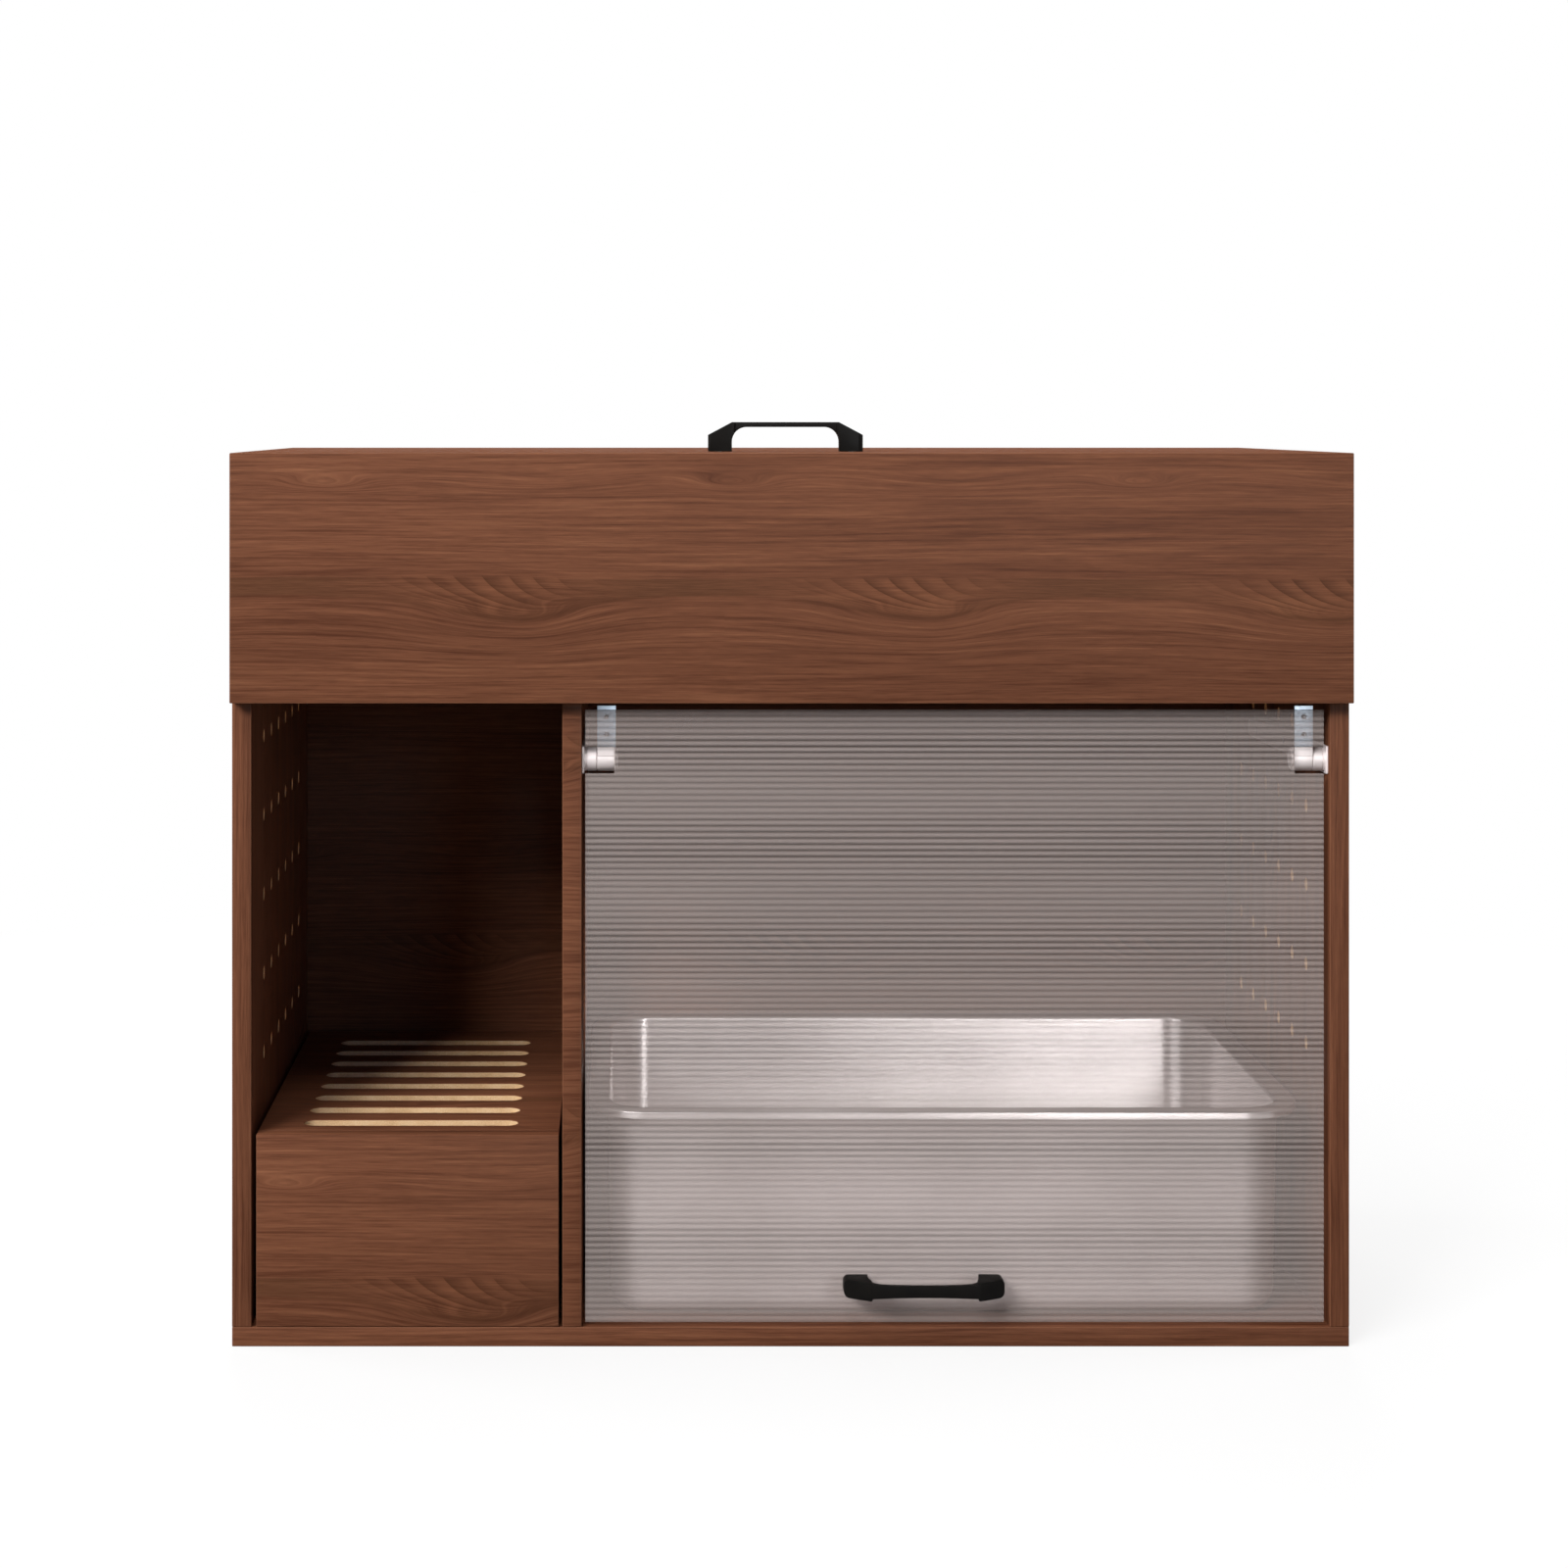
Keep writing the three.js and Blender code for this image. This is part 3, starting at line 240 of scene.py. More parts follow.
def enclosed(spot, walls):
    """Whether a ray from the spot crosses the walls, pairs of points, an odd number of times."""
    crossings = 0
    for start, end in walls:
        if (start.y > spot.y) != (end.y > spot.y):
            share = (spot.y - start.y) / (end.y - start.y)
            crossings += spot.x < start.x + share * (end.x - start.x)
    return crossings % 2 == 1


class Builder:
    """Collects rings of points and the faces between them, each face with a material's number."""

    def __init__(self):
        self.points = []
        self.faces = []
        self.slots = []

    def ring(self, points):
        first = len(self.points)
        self.points.extend(points)
        return list(range(first, len(self.points)))

    def face(self, corners, slot=0):
        self.faces.append(corners)
        self.slots.append(slot)

    def bridge(self, lower, upper, slot=0):
        count = len(lower)
        for i in range(count):
            j = (i + 1) % count
            self.face([lower[i], lower[j], upper[j], upper[i]], slot)

    def stack(self, rings, slot=0):
        for lower, upper in zip(rings, rings[1:]):
            self.bridge(lower, upper, slot)

    def turn(self, profile, sides):
        """Rings about the Z axis, one for each (radius, height) of the profile."""
        return [
            self.ring([(a, b, height) for a, b in circle(0, 0, radius, sides)])
            for radius, height in profile
        ]

    def caps(self, loops, plane=(X, Y), slot=0):
        """Fills the area inside the first ring and outside the others. Each of loops is a list of
        rings, and all of them have the same plan in the plane of the two axes."""
        places, walls = [], []
        for ring in loops[0]:
            first = len(places)
            places.extend(Vector([self.points[index][k] for k in plane]) for index in ring)
            count = len(ring)
            walls.extend((first + i, first + (i + 1) % count) for i in range(count))
        ends = [(places[a], places[b]) for a, b in walls]
        all_triangles = 0
        made = delaunay_2d_cdt(places, walls, [], all_triangles, 1e-9, True)
        for face in made[2]:
            corners = [made[3][corner][0] for corner in face]
            if enclosed(sum((places[corner] for corner in corners), Vector((0, 0))) / 3, ends):
                for rings in loops:
                    indices = [index for ring in rings for index in ring]
                    self.face([indices[corner] for corner in corners], slot)

    def mesh(self, name):
        data = bpy.data.meshes.new(name)
        data.from_pydata(self.points, [], self.faces)
        data.polygons.foreach_set("material_index", self.slots)
        clean(data, 1e-7)
        return data


def clean(data, distance, join=False):
    """Takes out what has no size and turns the faces outward. join also merges close points."""
    work = bmesh.new()
    work.from_mesh(data)
    if join:
        bmesh.ops.remove_doubles(work, verts=work.verts, dist=distance)
    bmesh.ops.dissolve_degenerate(work, edges=work.edges, dist=distance)
    bmesh.ops.recalc_face_normals(work, faces=work.faces)
    work.to_mesh(data)
    work.free()


def link(name, data):
    piece = bpy.data.objects.new(name, data)
    bpy.context.scene.collection.objects.link(piece)
    return piece


def plate(name, axis, span, outline, holes=(), edge=EDGE_ROUND, hole_slot=2):
    """An outline pushed along an axis, with its rims rounded over by edge. The faces have
    material 0, the rounded rims 1 and the walls of the holes hole_slot."""
    plane = [k for k in (X, Y, Z) if k != axis]

    def place(point, level):
        spot = [0, 0, 0]
        spot[plane[0]], spot[plane[1]], spot[axis] = point[0], point[1], level
        return tuple(spot)

    angles = [math.pi / 2]
    if edge:
        angles = [math.pi / 2 * i / ROUND_STEPS for i in range(ROUND_STEPS + 1)]
    start, end = span
    profile = [(edge * (1 - math.sin(t)), start + edge * (1 - math.cos(t))) for t in angles]
    profile += [(depth, end - (level - start)) for depth, level in reversed(profile)]
    middle = len(angles) - 1
    builder = Builder()
    lower, upper = [], []
    for points, sign, wall in [(outline, 1, 0)] + [(hole, -1, hole_slot) for hole in holes]:
        rings = [
            builder.ring([place(point, level) for point in inset(points, sign * depth)])
            for depth, level in profile
        ]
        for i in range(len(rings) - 1):
            builder.bridge(rings[i], rings[i + 1], wall if i == middle else 1)
        lower.append(rings[0])
        upper.append(rings[-1])
    builder.caps([lower, upper], plane)
    return link(name, builder.mesh(name))


def turned(name, profile, sides=ROUND_SIDES, slot=0):
    """A profile of (radius, height) pairs turned about the Z axis. It starts and ends on the
    axis, or closes on itself."""
    builder = Builder()
    builder.stack(builder.turn(profile, sides), slot)
    data = builder.mesh(name)
    clean(data, 1e-6, join=True)
    return link(name, data)


def bore(radius, low, high):
    """Profile of a round hole's tool."""
    return [(0, low), (radius, low), (radius, high), (0, high)]


def aim(piece, point, direction):
    """Moves a piece made about the origin, +Z up, to a point, with +Z turned to a direction."""
    turn = Vector((0, 0, 1)).rotation_difference(Vector(direction)).to_matrix().to_4x4()
    piece.data.transform(Matrix.Translation(point) @ turn)
    return piece


def apply_modifiers(piece):
    bpy.context.view_layer.update()
    evaluated = piece.evaluated_get(bpy.context.evaluated_depsgraph_get())
    data = bpy.data.meshes.new_from_object(evaluated)
    piece.modifiers.clear()
    old = piece.data
    piece.data = data
    data.name = piece.name
    bpy.data.meshes.remove(old)


def combine(piece, tools, operation):
    """Cuts the tools from the piece, or joins them to it, and deletes them."""
    for tool in tools:
        modifier = piece.modifiers.new("combine", "BOOLEAN")
        modifier.operation = operation
        modifier.solver = "EXACT"
        modifier.material_mode = "INDEX"
        modifier.object = tool
    apply_modifiers(piece)
    for tool in tools:
        data = tool.data
        bpy.data.objects.remove(tool)
        bpy.data.meshes.remove(data)


def shade(piece):
    """Smooth shading on the round faces, and flat shading on those that face along an axis."""
    for polygon in piece.data.polygons:
        polygon.use_smooth = max(abs(k) for k in polygon.normal) < 0.9999
    piece.data.set_sharp_from_angle(angle=SMOOTH_ANGLE)


def lay_grain(piece, grain, shift=(0, 0), faces=None):
    """Writes each face's place in the board's grain, in metres: along it, then across it. grain
    is the axis it runs along. faces gives another axis for faces that look along an axis."""
    size = [max(v.co[k] for v in piece.data.vertices) - min(v.co[k] for v in piece.data.vertices)
            for k in (X, Y, Z)]
    layer = piece.data.uv_layers.new(name="grain")
    for polygon in piece.data.polygons:
        normal = [abs(k) for k in polygon.normal]
        facing = normal.index(max(normal))
        plane = [k for k in (X, Y, Z) if k != facing]
        along = (faces or {}).get(facing, grain)
        if along == facing:
            along = max(plane, key=lambda k: size[k])
        across = plane[0] if plane[1] == along else plane[1]
        for corner in polygon.loop_indices:
            spot = piece.data.vertices[piece.data.loops[corner].vertex_index].co
            layer.data[corner].uv = (spot[along] + shift[0], spot[across] + shift[1])


# Materials

def srgb(red, green, blue):
    """A colour of 0 to 255 parts as a shader takes it."""
    parts = [part / 255 for part in (red, green, blue)]
    return (*[p / 12.92 if p <= 0.04045 else ((p + 0.055) / 1.055) ** 2.4 for p in parts], 1)


class Tree:
    """The nodes of a new material or world, with a short call for each kind that it takes."""

    def __init__(self, name, world=False):
        self.owner = (bpy.data.worlds if world else bpy.data.materials).new(name)
        self.owner.use_nodes = True
        self.nodes = self.owner.node_tree.nodes
        self.links = self.owner.node_tree.links
        self.shader = self.nodes["Background" if world else "Principled BSDF"]

    def feed(self, node, key, value):
        if isinstance(value, bpy.types.NodeSocket):
            self.links.new(value, node.inputs[key])
        else:
            node.inputs[key].default_value = value

    def node(self, kind, inputs=None, **settings):
        node = self.nodes.new("ShaderNode" + kind)
        for key, value in settings.items():
            setattr(node, key, value)
        for key, value in (inputs or {}).items():
            self.feed(node, key, value)
        return node

    def math(self, operation, *values):
        return self.node("Math", dict(enumerate(values)), operation=operation).outputs[0]

    def times(self, first, second):
        return self.math("MULTIPLY", first, second)

    def place(self):
        return self.node("TexCoord").outputs["Object"]

    def vector(self, x, y, z=0.0):
        return self.node("CombineXYZ", {0: x, 1: y, 2: z}).outputs[0]

    def noise(self, vector, scale=1.0, detail=2.0, roughness=0.5):
        inputs = {"Vector": vector, "Scale": scale, "Detail": detail, "Roughness": roughness}
        return self.node("TexNoise", inputs).outputs["Fac"]

    def ramp(self, factor, stops):
        """stops pairs places on the ramp with colours of 0 to 255 parts."""
        node = self.node("ValToRGB", {"Fac": factor})
        elements = node.color_ramp.elements
        while len(elements) < len(stops):
            elements.new(0.5)
        for element, (position, colour) in zip(elements, stops):
            element.position = position
            element.color = srgb(*colour)
        return node.outputs["Color"]

    def spread(self, value, low, high, to_low=0.0, to_high=1.0):
        """A value from low to high turned into one from to_low to to_high, and kept there."""
        inputs = {0: value, 1: low, 2: high, 3: to_low, 4: to_high}
        return self.node("MapRange", inputs, clamp=True).outputs[0]

    def mix(self, factor, first, second, blend="MIX"):
        inputs = {0: factor, 6: first, 7: second}
        return self.node("Mix", inputs, data_type="RGBA", blend_type=blend).outputs[2]

    def bump(self, height, distance):
        inputs = {"Height": height, "Distance": distance, "Strength": 1.0}
        return self.node("Bump", inputs).outputs[0]

    def finish(self, **inputs):
        for key, value in inputs.items():
            self.feed(self.shader, key.replace("_", " "), value)
        return self.owner


# The laminate's printed figure, in metres along and across the grain of the fascia. It comes again
# after each repeat. A streak of darker wood lies under line, its lower edge dips at the plume, and
# there curved lines fall from line into it.

FIGURE_REPEAT = (0.336, 0.31)
EYE = {"at": (-0.3851, 0.7148), "size": (0.034, 0.0062), "height": 0.0105}
BOW = {"at": (-0.205, 0.7150), "size": (0.070, 0.0100), "height": 0.0065}
PLUME = {
    "at": -0.2233, "widths": (0.088, 0.058), "line": 0.6366, "height": 0.0152, "dip": 0.018,
    "reach": (0.026, 0.013),
}
PLUME_LINES = {"at": -0.248, "width": 0.066, "sweep": 0.026, "count": 45}
DARK_STREAK = {"at": -0.088, "width": 0.082}


def wrapped(tree, value, centre, period):
    """Signed distance from the nearest repeat of centre."""
    away = tree.math("SUBTRACT", value, centre)
    return tree.math("WRAP", away, period / 2, -period / 2)


def bell(tree, *shares):
    """exp(-sum of the squares) of distances, each given with the width it is measured in."""
    total = 0.0
    for distance, width in shares:
        share = tree.math("DIVIDE", distance, width)
        total = tree.math("MULTIPLY_ADD", share, share, total)
    return tree.math("EXPONENT", tree.times(total, -1.0))


def lopsided(tree, distance, widths):
    """A bell with one width below its middle and another above it."""
    below = tree.math("MINIMUM", distance, 0.0)
    above = tree.math("MAXIMUM", distance, 0.0)
    return bell(tree, (below, widths[0]), (above, widths[1]))


class Figure:
    """The figure's fields: u along the grain, v across it, and bent, v with the figure in it."""

    def __init__(self, tree):
        split = tree.node("SeparateXYZ", {0: tree.node("UVMap", uv_map="grain").outputs[0]})
        self.tree = tree
        self.u = split.outputs[0]
        place = tree.vector(tree.times(self.u, 2.6), tree.times(split.outputs[1], 7.0))
        slow = tree.math("SUBTRACT", tree.noise(place, detail=1.0), 0.5)
        self.v = tree.math("MULTIPLY_ADD", slow, 0.012, split.outputs[1])
        self.bent = self.v
        for spot in (EYE, BOW):
            share = self.around(spot["at"], spot["size"])
            self.bent = tree.math("MULTIPLY_ADD", share, spot["height"], self.bent)
        share = lopsided(tree, self.along_from(PLUME["at"]), PLUME["widths"])
        self.dip = tree.times(share, PLUME["dip"])
        low = PLUME["line"] - PLUME["height"] - PLUME["dip"]
        near = lopsided(tree, self.across_from(low), PLUME["reach"])
        self.bent = tree.math("MULTIPLY_ADD", self.dip, near, self.bent)

    def along_from(self, at):
        return wrapped(self.tree, self.u, at, FIGURE_REPEAT[0])

    def across_from(self, at):
        return wrapped(self.tree, self.v, at, FIGURE_REPEAT[1])

    def around(self, at, size):
        along, across = self.along_from(at[0]), self.across_from(at[1])
        return bell(self.tree, (along, size[0]), (across, size[1]))

    def streaks(self, along, across, seed, detail=2.0):
        """Noise drawn out along the grain: along and across are its waves in a metre."""
        tree = self.tree
        place = tree.vector(tree.times(self.u, along), tree.times(self.bent, across), seed)
        return tree.noise(place, detail=detail)

    def depth(self):
        """0 at the line over the streak, growing to 1 at the streak's lower edge."""
        tree = self.tree
        fall = tree.times(self.across_from(PLUME["line"]), -1.0)
        return tree.math("DIVIDE", fall, tree.math("ADD", self.dip, PLUME["height"]))

    def plume_lines(self, depth):
        """Curves that start down from the line and sweep to the right: 1 at each, fading to 0."""
        tree = self.tree
        reach = tree.math("SUBTRACT", 1.1, tree.math("MINIMUM", depth, 1.0))
        sweep = tree.times(tree.math("DIVIDE", depth, reach), PLUME_LINES["sweep"])
        start = tree.math("SUBTRACT", self.u, sweep)
        sway = tree.noise(tree.vector(tree.times(start, 22.0), 3.0, 7.0), detail=1.0)
        place = tree.math("MULTIPLY_ADD", start, PLUME_LINES["count"], sway)
        return tree.math("POWER", tree.math("SUBTRACT", 1.0, tree.math("FRACT", place)), 3.0)


def walnut(name, edge_highlight=0.0):
    """Walnut-grain laminate, which can be lightened in uneven streaks as a painted highlight for
    the rounded rims.
    """
    tree = Tree(name)
    figure = Figure(tree)
    broad = figure.streaks(1.5, 48.0, 3.0)
    lines = figure.streaks(9.0, 360.0, 11.0, detail=4.0)
    fibres = figure.streaks(30.0, 1050.0, 23.0, detail=3.0)
    pores = figure.streaks(75.0, 1500.0, 57.0)
    tone = tree.math("MULTIPLY_ADD", lines, 0.64, tree.times(broad, 0.36))
    colour = tree.ramp(tree.spread(tone, 0.34, 0.66), [
        (0.0, (91, 53, 36)), (0.35, (109, 67, 47)), (0.65, (120, 75, 53)), (1.0, (134, 87, 62)),
    ])
    dark_lines = tree.spread(figure.streaks(5.0, 260.0, 41.0, detail=3.0), 0.58, 0.70)
    colour = tree.mix(tree.times(dark_lines, 0.35), colour, srgb(84, 48, 32))

    depth = figure.depth()
    inside = tree.times(tree.spread(depth, -0.04, 0.06), tree.spread(depth, 0.94, 1.0, 1.0, 0.0))
    shade_at = figure.along_from(DARK_STREAK["at"])
    shade = tree.times(inside, bell(tree, (shade_at, DARK_STREAK["width"])))
    colour = tree.mix(tree.times(shade, 0.75), colour, srgb(96, 61, 41))
    plume_at = figure.along_from(PLUME_LINES["at"])
    plume = tree.times(inside, bell(tree, (plume_at, PLUME_LINES["width"])))
    arcs = figure.plume_lines(depth)
    colour = tree.mix(tree.times(plume, arcs), colour, srgb(86, 52, 34))
    between = tree.spread(arcs, 0.0, 0.2, 0.35, 0.0)
    colour = tree.mix(tree.times(plume, between), colour, srgb(133, 84, 58))
    near_edge = bell(tree, (tree.math("SUBTRACT", depth, 1.0), 0.07))
    rim = tree.times(near_edge, plume_edge(tree, figure))
    colour = tree.mix(rim, colour, srgb(86, 52, 34))

    fibre_shade = tree.times(
        tree.spread(fibres, 0.3, 0.7, 0.85, 1.15), tree.spread(pores, 0.3, 0.62, 0.86, 1.04))
    colour = tree.mix(1.0, colour, tree.vector(fibre_shade, fibre_shade, fibre_shade), "MULTIPLY")
    # Painted highlight: lighter walnut in uneven streaks, standing in for the light that the
    # rounded rims catch.
    if edge_highlight:
        painted_edge_light = tree.spread(figure.streaks(9.0, 9.0, 5.0), 0.35, 0.65, edge_highlight * 0.5, edge_highlight)
        colour = tree.mix(painted_edge_light, colour, srgb(150, 104, 78))
    height = tree.math("MULTIPLY_ADD", fibres, 0.5, lines)
    return tree.finish(
        Base_Color=colour,
        Roughness=tree.spread(lines, 0.3, 0.7, 0.50, 0.60),
        Specular_IOR_Level=0.05,
        Normal=tree.bump(height, 0.00008),
    )


def plume_edge(tree, figure):
    """How strong the dark line along the streak's lower edge is."""
    along = figure.along_from(PLUME["at"])
    return tree.math("MULTIPLY_ADD", bell(tree, (along, PLUME["widths"][0] * 1.2)), 0.5, 0.2)


def fibreboard(name, fleck, cloud, cloud_share, tones, roughness, relief):
    """Pressed wood fibre: fine flecks over soft clouds, each given as its noise's settings."""
    tree = Tree(name)
    place = tree.place()
    fine, soft = tree.noise(place, *fleck), tree.noise(place, *cloud)
    tone = tree.math("MULTIPLY_ADD", soft, cloud_share, tree.times(fine, 1 - cloud_share))
    colour = tree.ramp(tone, list(zip((0.3, 0.5, 0.7), tones)))
    return tree.finish(Base_Color=colour, Roughness=roughness, Normal=tree.bump(fine, relief))


METAL_WEAR = 0.05
SCRATCH_DEPTH = 0.03 * MM


def brushed(name, tone, roughness, along, drawn=0.0, metal=1.0):
    """Metal with fine scratches: along gives their waves in a metre in X, Y and Z. Where they are
    drawn round the piece, highlights spread upright."""
    tree = Tree(name)
    place = tree.place()
    stretched = tree.node("Mapping", {"Vector": place, "Scale": along}).outputs[0]
    scratch = tree.noise(stretched, 1.0, 3.0, 0.6)
    cloud = tree.noise(place, 7.0, 3.0)
    light = srgb(*[min(255, part + 8) for part in tone])
    dark = srgb(*[part - 10 for part in tone])
    colour = tree.mix(tree.spread(cloud, 0.35, 0.65), dark, light)
    rough = tree.math(
        "ADD", tree.spread(scratch, 0.3, 0.7, roughness - METAL_WEAR, roughness + METAL_WEAR),
        tree.spread(cloud, 0.3, 0.7, -METAL_WEAR / 2, METAL_WEAR / 2))
    if drawn:
        round_z = tree.node("Tangent", direction_type="RADIAL", axis="Z").outputs[0]
        tree.finish(Anisotropic=drawn, Anisotropic_Rotation=0.25, Tangent=round_z)
    return tree.finish(
        Base_Color=colour, Metallic=metal, Roughness=rough,
        Normal=tree.bump(scratch, SCRATCH_DEPTH),
    )


def black_paint():
    tree = Tree("black_powder_coat")
    place = tree.place()
    grain = tree.noise(place, 2200.0, 2.0)
    cloud = tree.noise(place, 45.0, 3.0)
    colour = tree.mix(tree.spread(cloud, 0.35, 0.65), srgb(11, 10, 9), srgb(16, 14, 12))
    return tree.finish(
        Base_Color=colour, Roughness=tree.spread(cloud, 0.3, 0.7, 0.45, 0.55),
        Specular_IOR_Level=0.05, Normal=tree.bump(grain, 0.00004),
    )


# The sheet's painted groove shade is strongest at this height, and again after each length.

SHEET_BEAT = {"at": 0.414, "length": 0.083}


def reeded_sheet_material():
    """Hazy clear plastic with painted shade in the grooves between its reeds, where it is darker
    and a little less clear. The painted shade is stronger on some reeds than on others, and rises
    and falls with height. Each reed is a little more or less clear than the next. A ray meets two
    faces of the sheet, so each face covers less than the sheet does."""
    tree = Tree("hazy_reeded_plastic")
    low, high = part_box("reeded_door_sheet")
    pitch = (high.z - low.z) / REED_COUNT
    place = tree.node("SeparateXYZ", {0: tree.place()})
    x, z = place.outputs[0], place.outputs[2]
    count = tree.math("DIVIDE", tree.math("SUBTRACT", high.z, z), pitch)
    from_crest = tree.math("ABSOLUTE", tree.math("SUBTRACT", tree.math("FRACT", count), 0.5))
    groove = tree.spread(from_crest, 0.14, 0.46)
    reed = tree.times(tree.math("FLOOR", count), 0.77)
    each = tree.noise(tree.vector(0.0, 5.0, reed), roughness=0.7)
    above = tree.math("SUBTRACT", z, SHEET_BEAT["at"])
    beat = tree.math("COSINE", tree.math("DIVIDE", above, SHEET_BEAT["length"] / math.tau))
    along = tree.noise(tree.vector(tree.times(x, 3.0), 0.0, tree.times(z, 60.0)))
    groove_shade_strength = tree.times(
        tree.spread(each, 0.30, 0.60, 0.35, 1.0), tree.spread(beat, -1.0, 1.0, 0.3, 1.0))
    # Painted shade: the grooves are darkened toward a grey-brown, as the lamps would shade them.
    line = tree.times(groove, groove_shade_strength)
    colour = tree.mix(line, srgb(199, 185, 180), srgb(82, 71, 68))
    cover = tree.spread(groove_shade_strength, 0.0, 1.0, 0.27, 0.34)
    cover = tree.math("MULTIPLY_ADD", line, 0.06, cover)
    cover = tree.times(cover, tree.spread(along, 0.3, 0.7, 0.94, 1.06))
    return tree.finish(
        Base_Color=colour, Roughness=0.38, Specular_IOR_Level=0.1, Alpha=cover, IOR=1.45)


WALNUT = walnut("walnut_laminate")
# The rounded rims get this copy, with its painted highlight.
WALNUT_EDGE = walnut("walnut_laminate_edge", edge_highlight=0.35)
# The tan core shows where a board is cut through.
CORE = fibreboard(
    "board_core", (900.0, 3.0, 0.65), (60.0, 2.0), 0.4,
    [(196, 154, 108), (220, 182, 136), (234, 204, 162)], 0.8, 0.2 * MM)
HARDBOARD = fibreboard(
    "hardboard", (700.0, 3.0, 0.7), (14.0, 3.0), 0.6,
    [(170, 130, 88), (196, 156, 112), (212, 176, 134)], 0.75, 0.1 * MM)
ROUND_THE_PAN = (6.0, 6.0, 900.0)
STEEL = brushed("stainless_steel", (232, 225, 224), 0.36, ROUND_THE_PAN, drawn=0.85, metal=0.8)
MATT_STEEL = brushed(
    "matt_stainless_steel", (197, 189, 188), 0.66, ROUND_THE_PAN, drawn=0.5, metal=0.65)
SATIN = brushed("satin_hinge_metal", (232, 222, 221), 0.50, (300.0, 300.0, 300.0), metal=0.12)
PLATED = brushed("blue_plated_leaf", (140, 152, 164), 0.45, (300.0, 300.0, 300.0))
ZINC = brushed("zinc_plate", (176, 180, 186), 0.38, (500.0, 500.0, 500.0))
BLACK = black_paint()
SHEET = reeded_sheet_material()


# Pieces

def body_of(node):
    return frame["nodes"][node]["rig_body"]


def settle(piece, node, materials):
    """Dresses a finished piece and lets it stand for its node."""
    shade(piece)
    for material in materials:
        piece.data.materials.append(material)
    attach(piece, body_of(node))
    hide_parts(node)


def span(node, axis):
    low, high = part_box(node)
    return low[axis], high[axis]


def middle(node):
    low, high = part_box(node)
    return (low + high) / 2


def face_outline(node, axis):
    low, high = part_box(node)
    a, b = [k for k in (X, Y, Z) if k != axis]
    return rounded(rectangle(low[a], low[b], high[a], high[b]), CORNER_ROUND)


def end_point(node, direction):
    """The middle of the end of a node's box that lies in a direction."""
    low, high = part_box(node)
    point = (low + high) / 2
    for k in (X, Y, Z):
        if direction[k]:
            point[k] = high[k] if direction[k] > 0 else low[k]
    return point


def axis_of(direction):
    return [abs(part) for part in direction].index(1)


def length_along(node, direction):
    low, high = span(node, axis_of(direction))
    return high - low


def hole_for(node, direction, spec, slot):
    """The tool that cuts a screw's hole, or a cam's where spec is None: the fastener's own form,
    grown by the running gap."""
    length, gap = length_along(node, direction), RUNNING_GAP
    if spec:
        bottom = -length - HOLE_OVERRUN
        shank, head = spec["shank"] + gap, spec["head"] + gap
        profile = [
            (0, bottom), (shank, bottom), (shank, -spec["cone"]), (head, 0), (head, gap), (0, gap),
        ]
    else:
        profile = bore(CAM_RADIUS + gap, -length - gap, gap)
    tool = turned(f"{node}_tool", profile, SCREW_SIDES if spec else ROUND_SIDES, slot)
    return aim(tool, end_point(node, direction), direction)


def holes_for(kind, numbers, direction, spec=None, slot=2):
    return [hole_for(f"{kind}_{i}", direction, spec, slot) for i in numbers]


def handle_bore(node, direction, level, slot):
    """The tool for a handle's screw. It runs both ways from a level inside the board."""
    spot = middle(node)
    spot[axis_of(direction)] = level
    profile = bore(HANDLE_SCREW_BORE, -HANDLE_BORE_REACH, HANDLE_BORE_REACH)
    return aim(turned(f"{node}_bore", profile, SCREW_SIDES, slot), spot, direction)


BOARDS = [WALNUT, WALNUT_EDGE, CORE]
RIGHT, LEFT, BACK, DOWN, UP = (1, 0, 0), (-1, 0, 0), (0, 1, 0), (0, 0, -1), (0, 0, 1)
INWARD = {"left": RIGHT, "right": LEFT}


def board(
    node, axis, grain, shift=(0, 0), holes=(), tools=(), faces=None, hole_slot=2, outline=None,
):
    """A laminated board: a rounded-over plate across an axis, with its holes and its grain."""
    outline = outline or face_outline(node, axis)
    piece = plate(f"{node}_board", axis, span(node, axis), outline, holes, hole_slot=hole_slot)
    if tools:
        combine(piece, tools, "DIFFERENCE")
    lay_grain(piece, grain, shift, faces)
    settle(piece, node, BOARDS)


def vents(side):
    centre = middle(f"{side}_side_panel")
    return [
        circle(centre.y + (column - (VENT_COLUMNS - 1) / 2) * VENT_COLUMN_PITCH,
               VENT_CENTRE_HEIGHT[side] + (row - (VENT_ROWS - 1) / 2) * VENT_ROW_PITCH,
               VENT_RADIUS, VENT_SIDES)
        for column in range(VENT_COLUMNS) for row in range(VENT_ROWS)
    ]


def cam_tools(kind, side, direction):
    return holes_for(f"{kind}_cam_lock_{side}", (1, 2), direction)


def strap_tools(side, slot=2):
    return holes_for(f"strap_screw_{side}", (1, 2, 3), INWARD[side], WOOD_SCREW, slot)


def leaf_tools(side):
    return holes_for(f"leaf_screw_{side}", (1, 2), BACK, WOOD_SCREW, 0)


def doorway():
    centre = (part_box("left_side_panel")[0].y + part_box("left_side_panel")[1].y) / 2
    half, r = DOORWAY_HALF_WIDTH, DOORWAY_SILL_RADIUS
    return [
        *arc(centre + half - r, DOORWAY_SILL + r, r, -90, 0, 8),
        *arc(centre, DOORWAY_TOP - half, half, 0, 180, 40),
        *arc(centre - half + r, DOORWAY_SILL + r, r, 180, 270, 8),
    ]


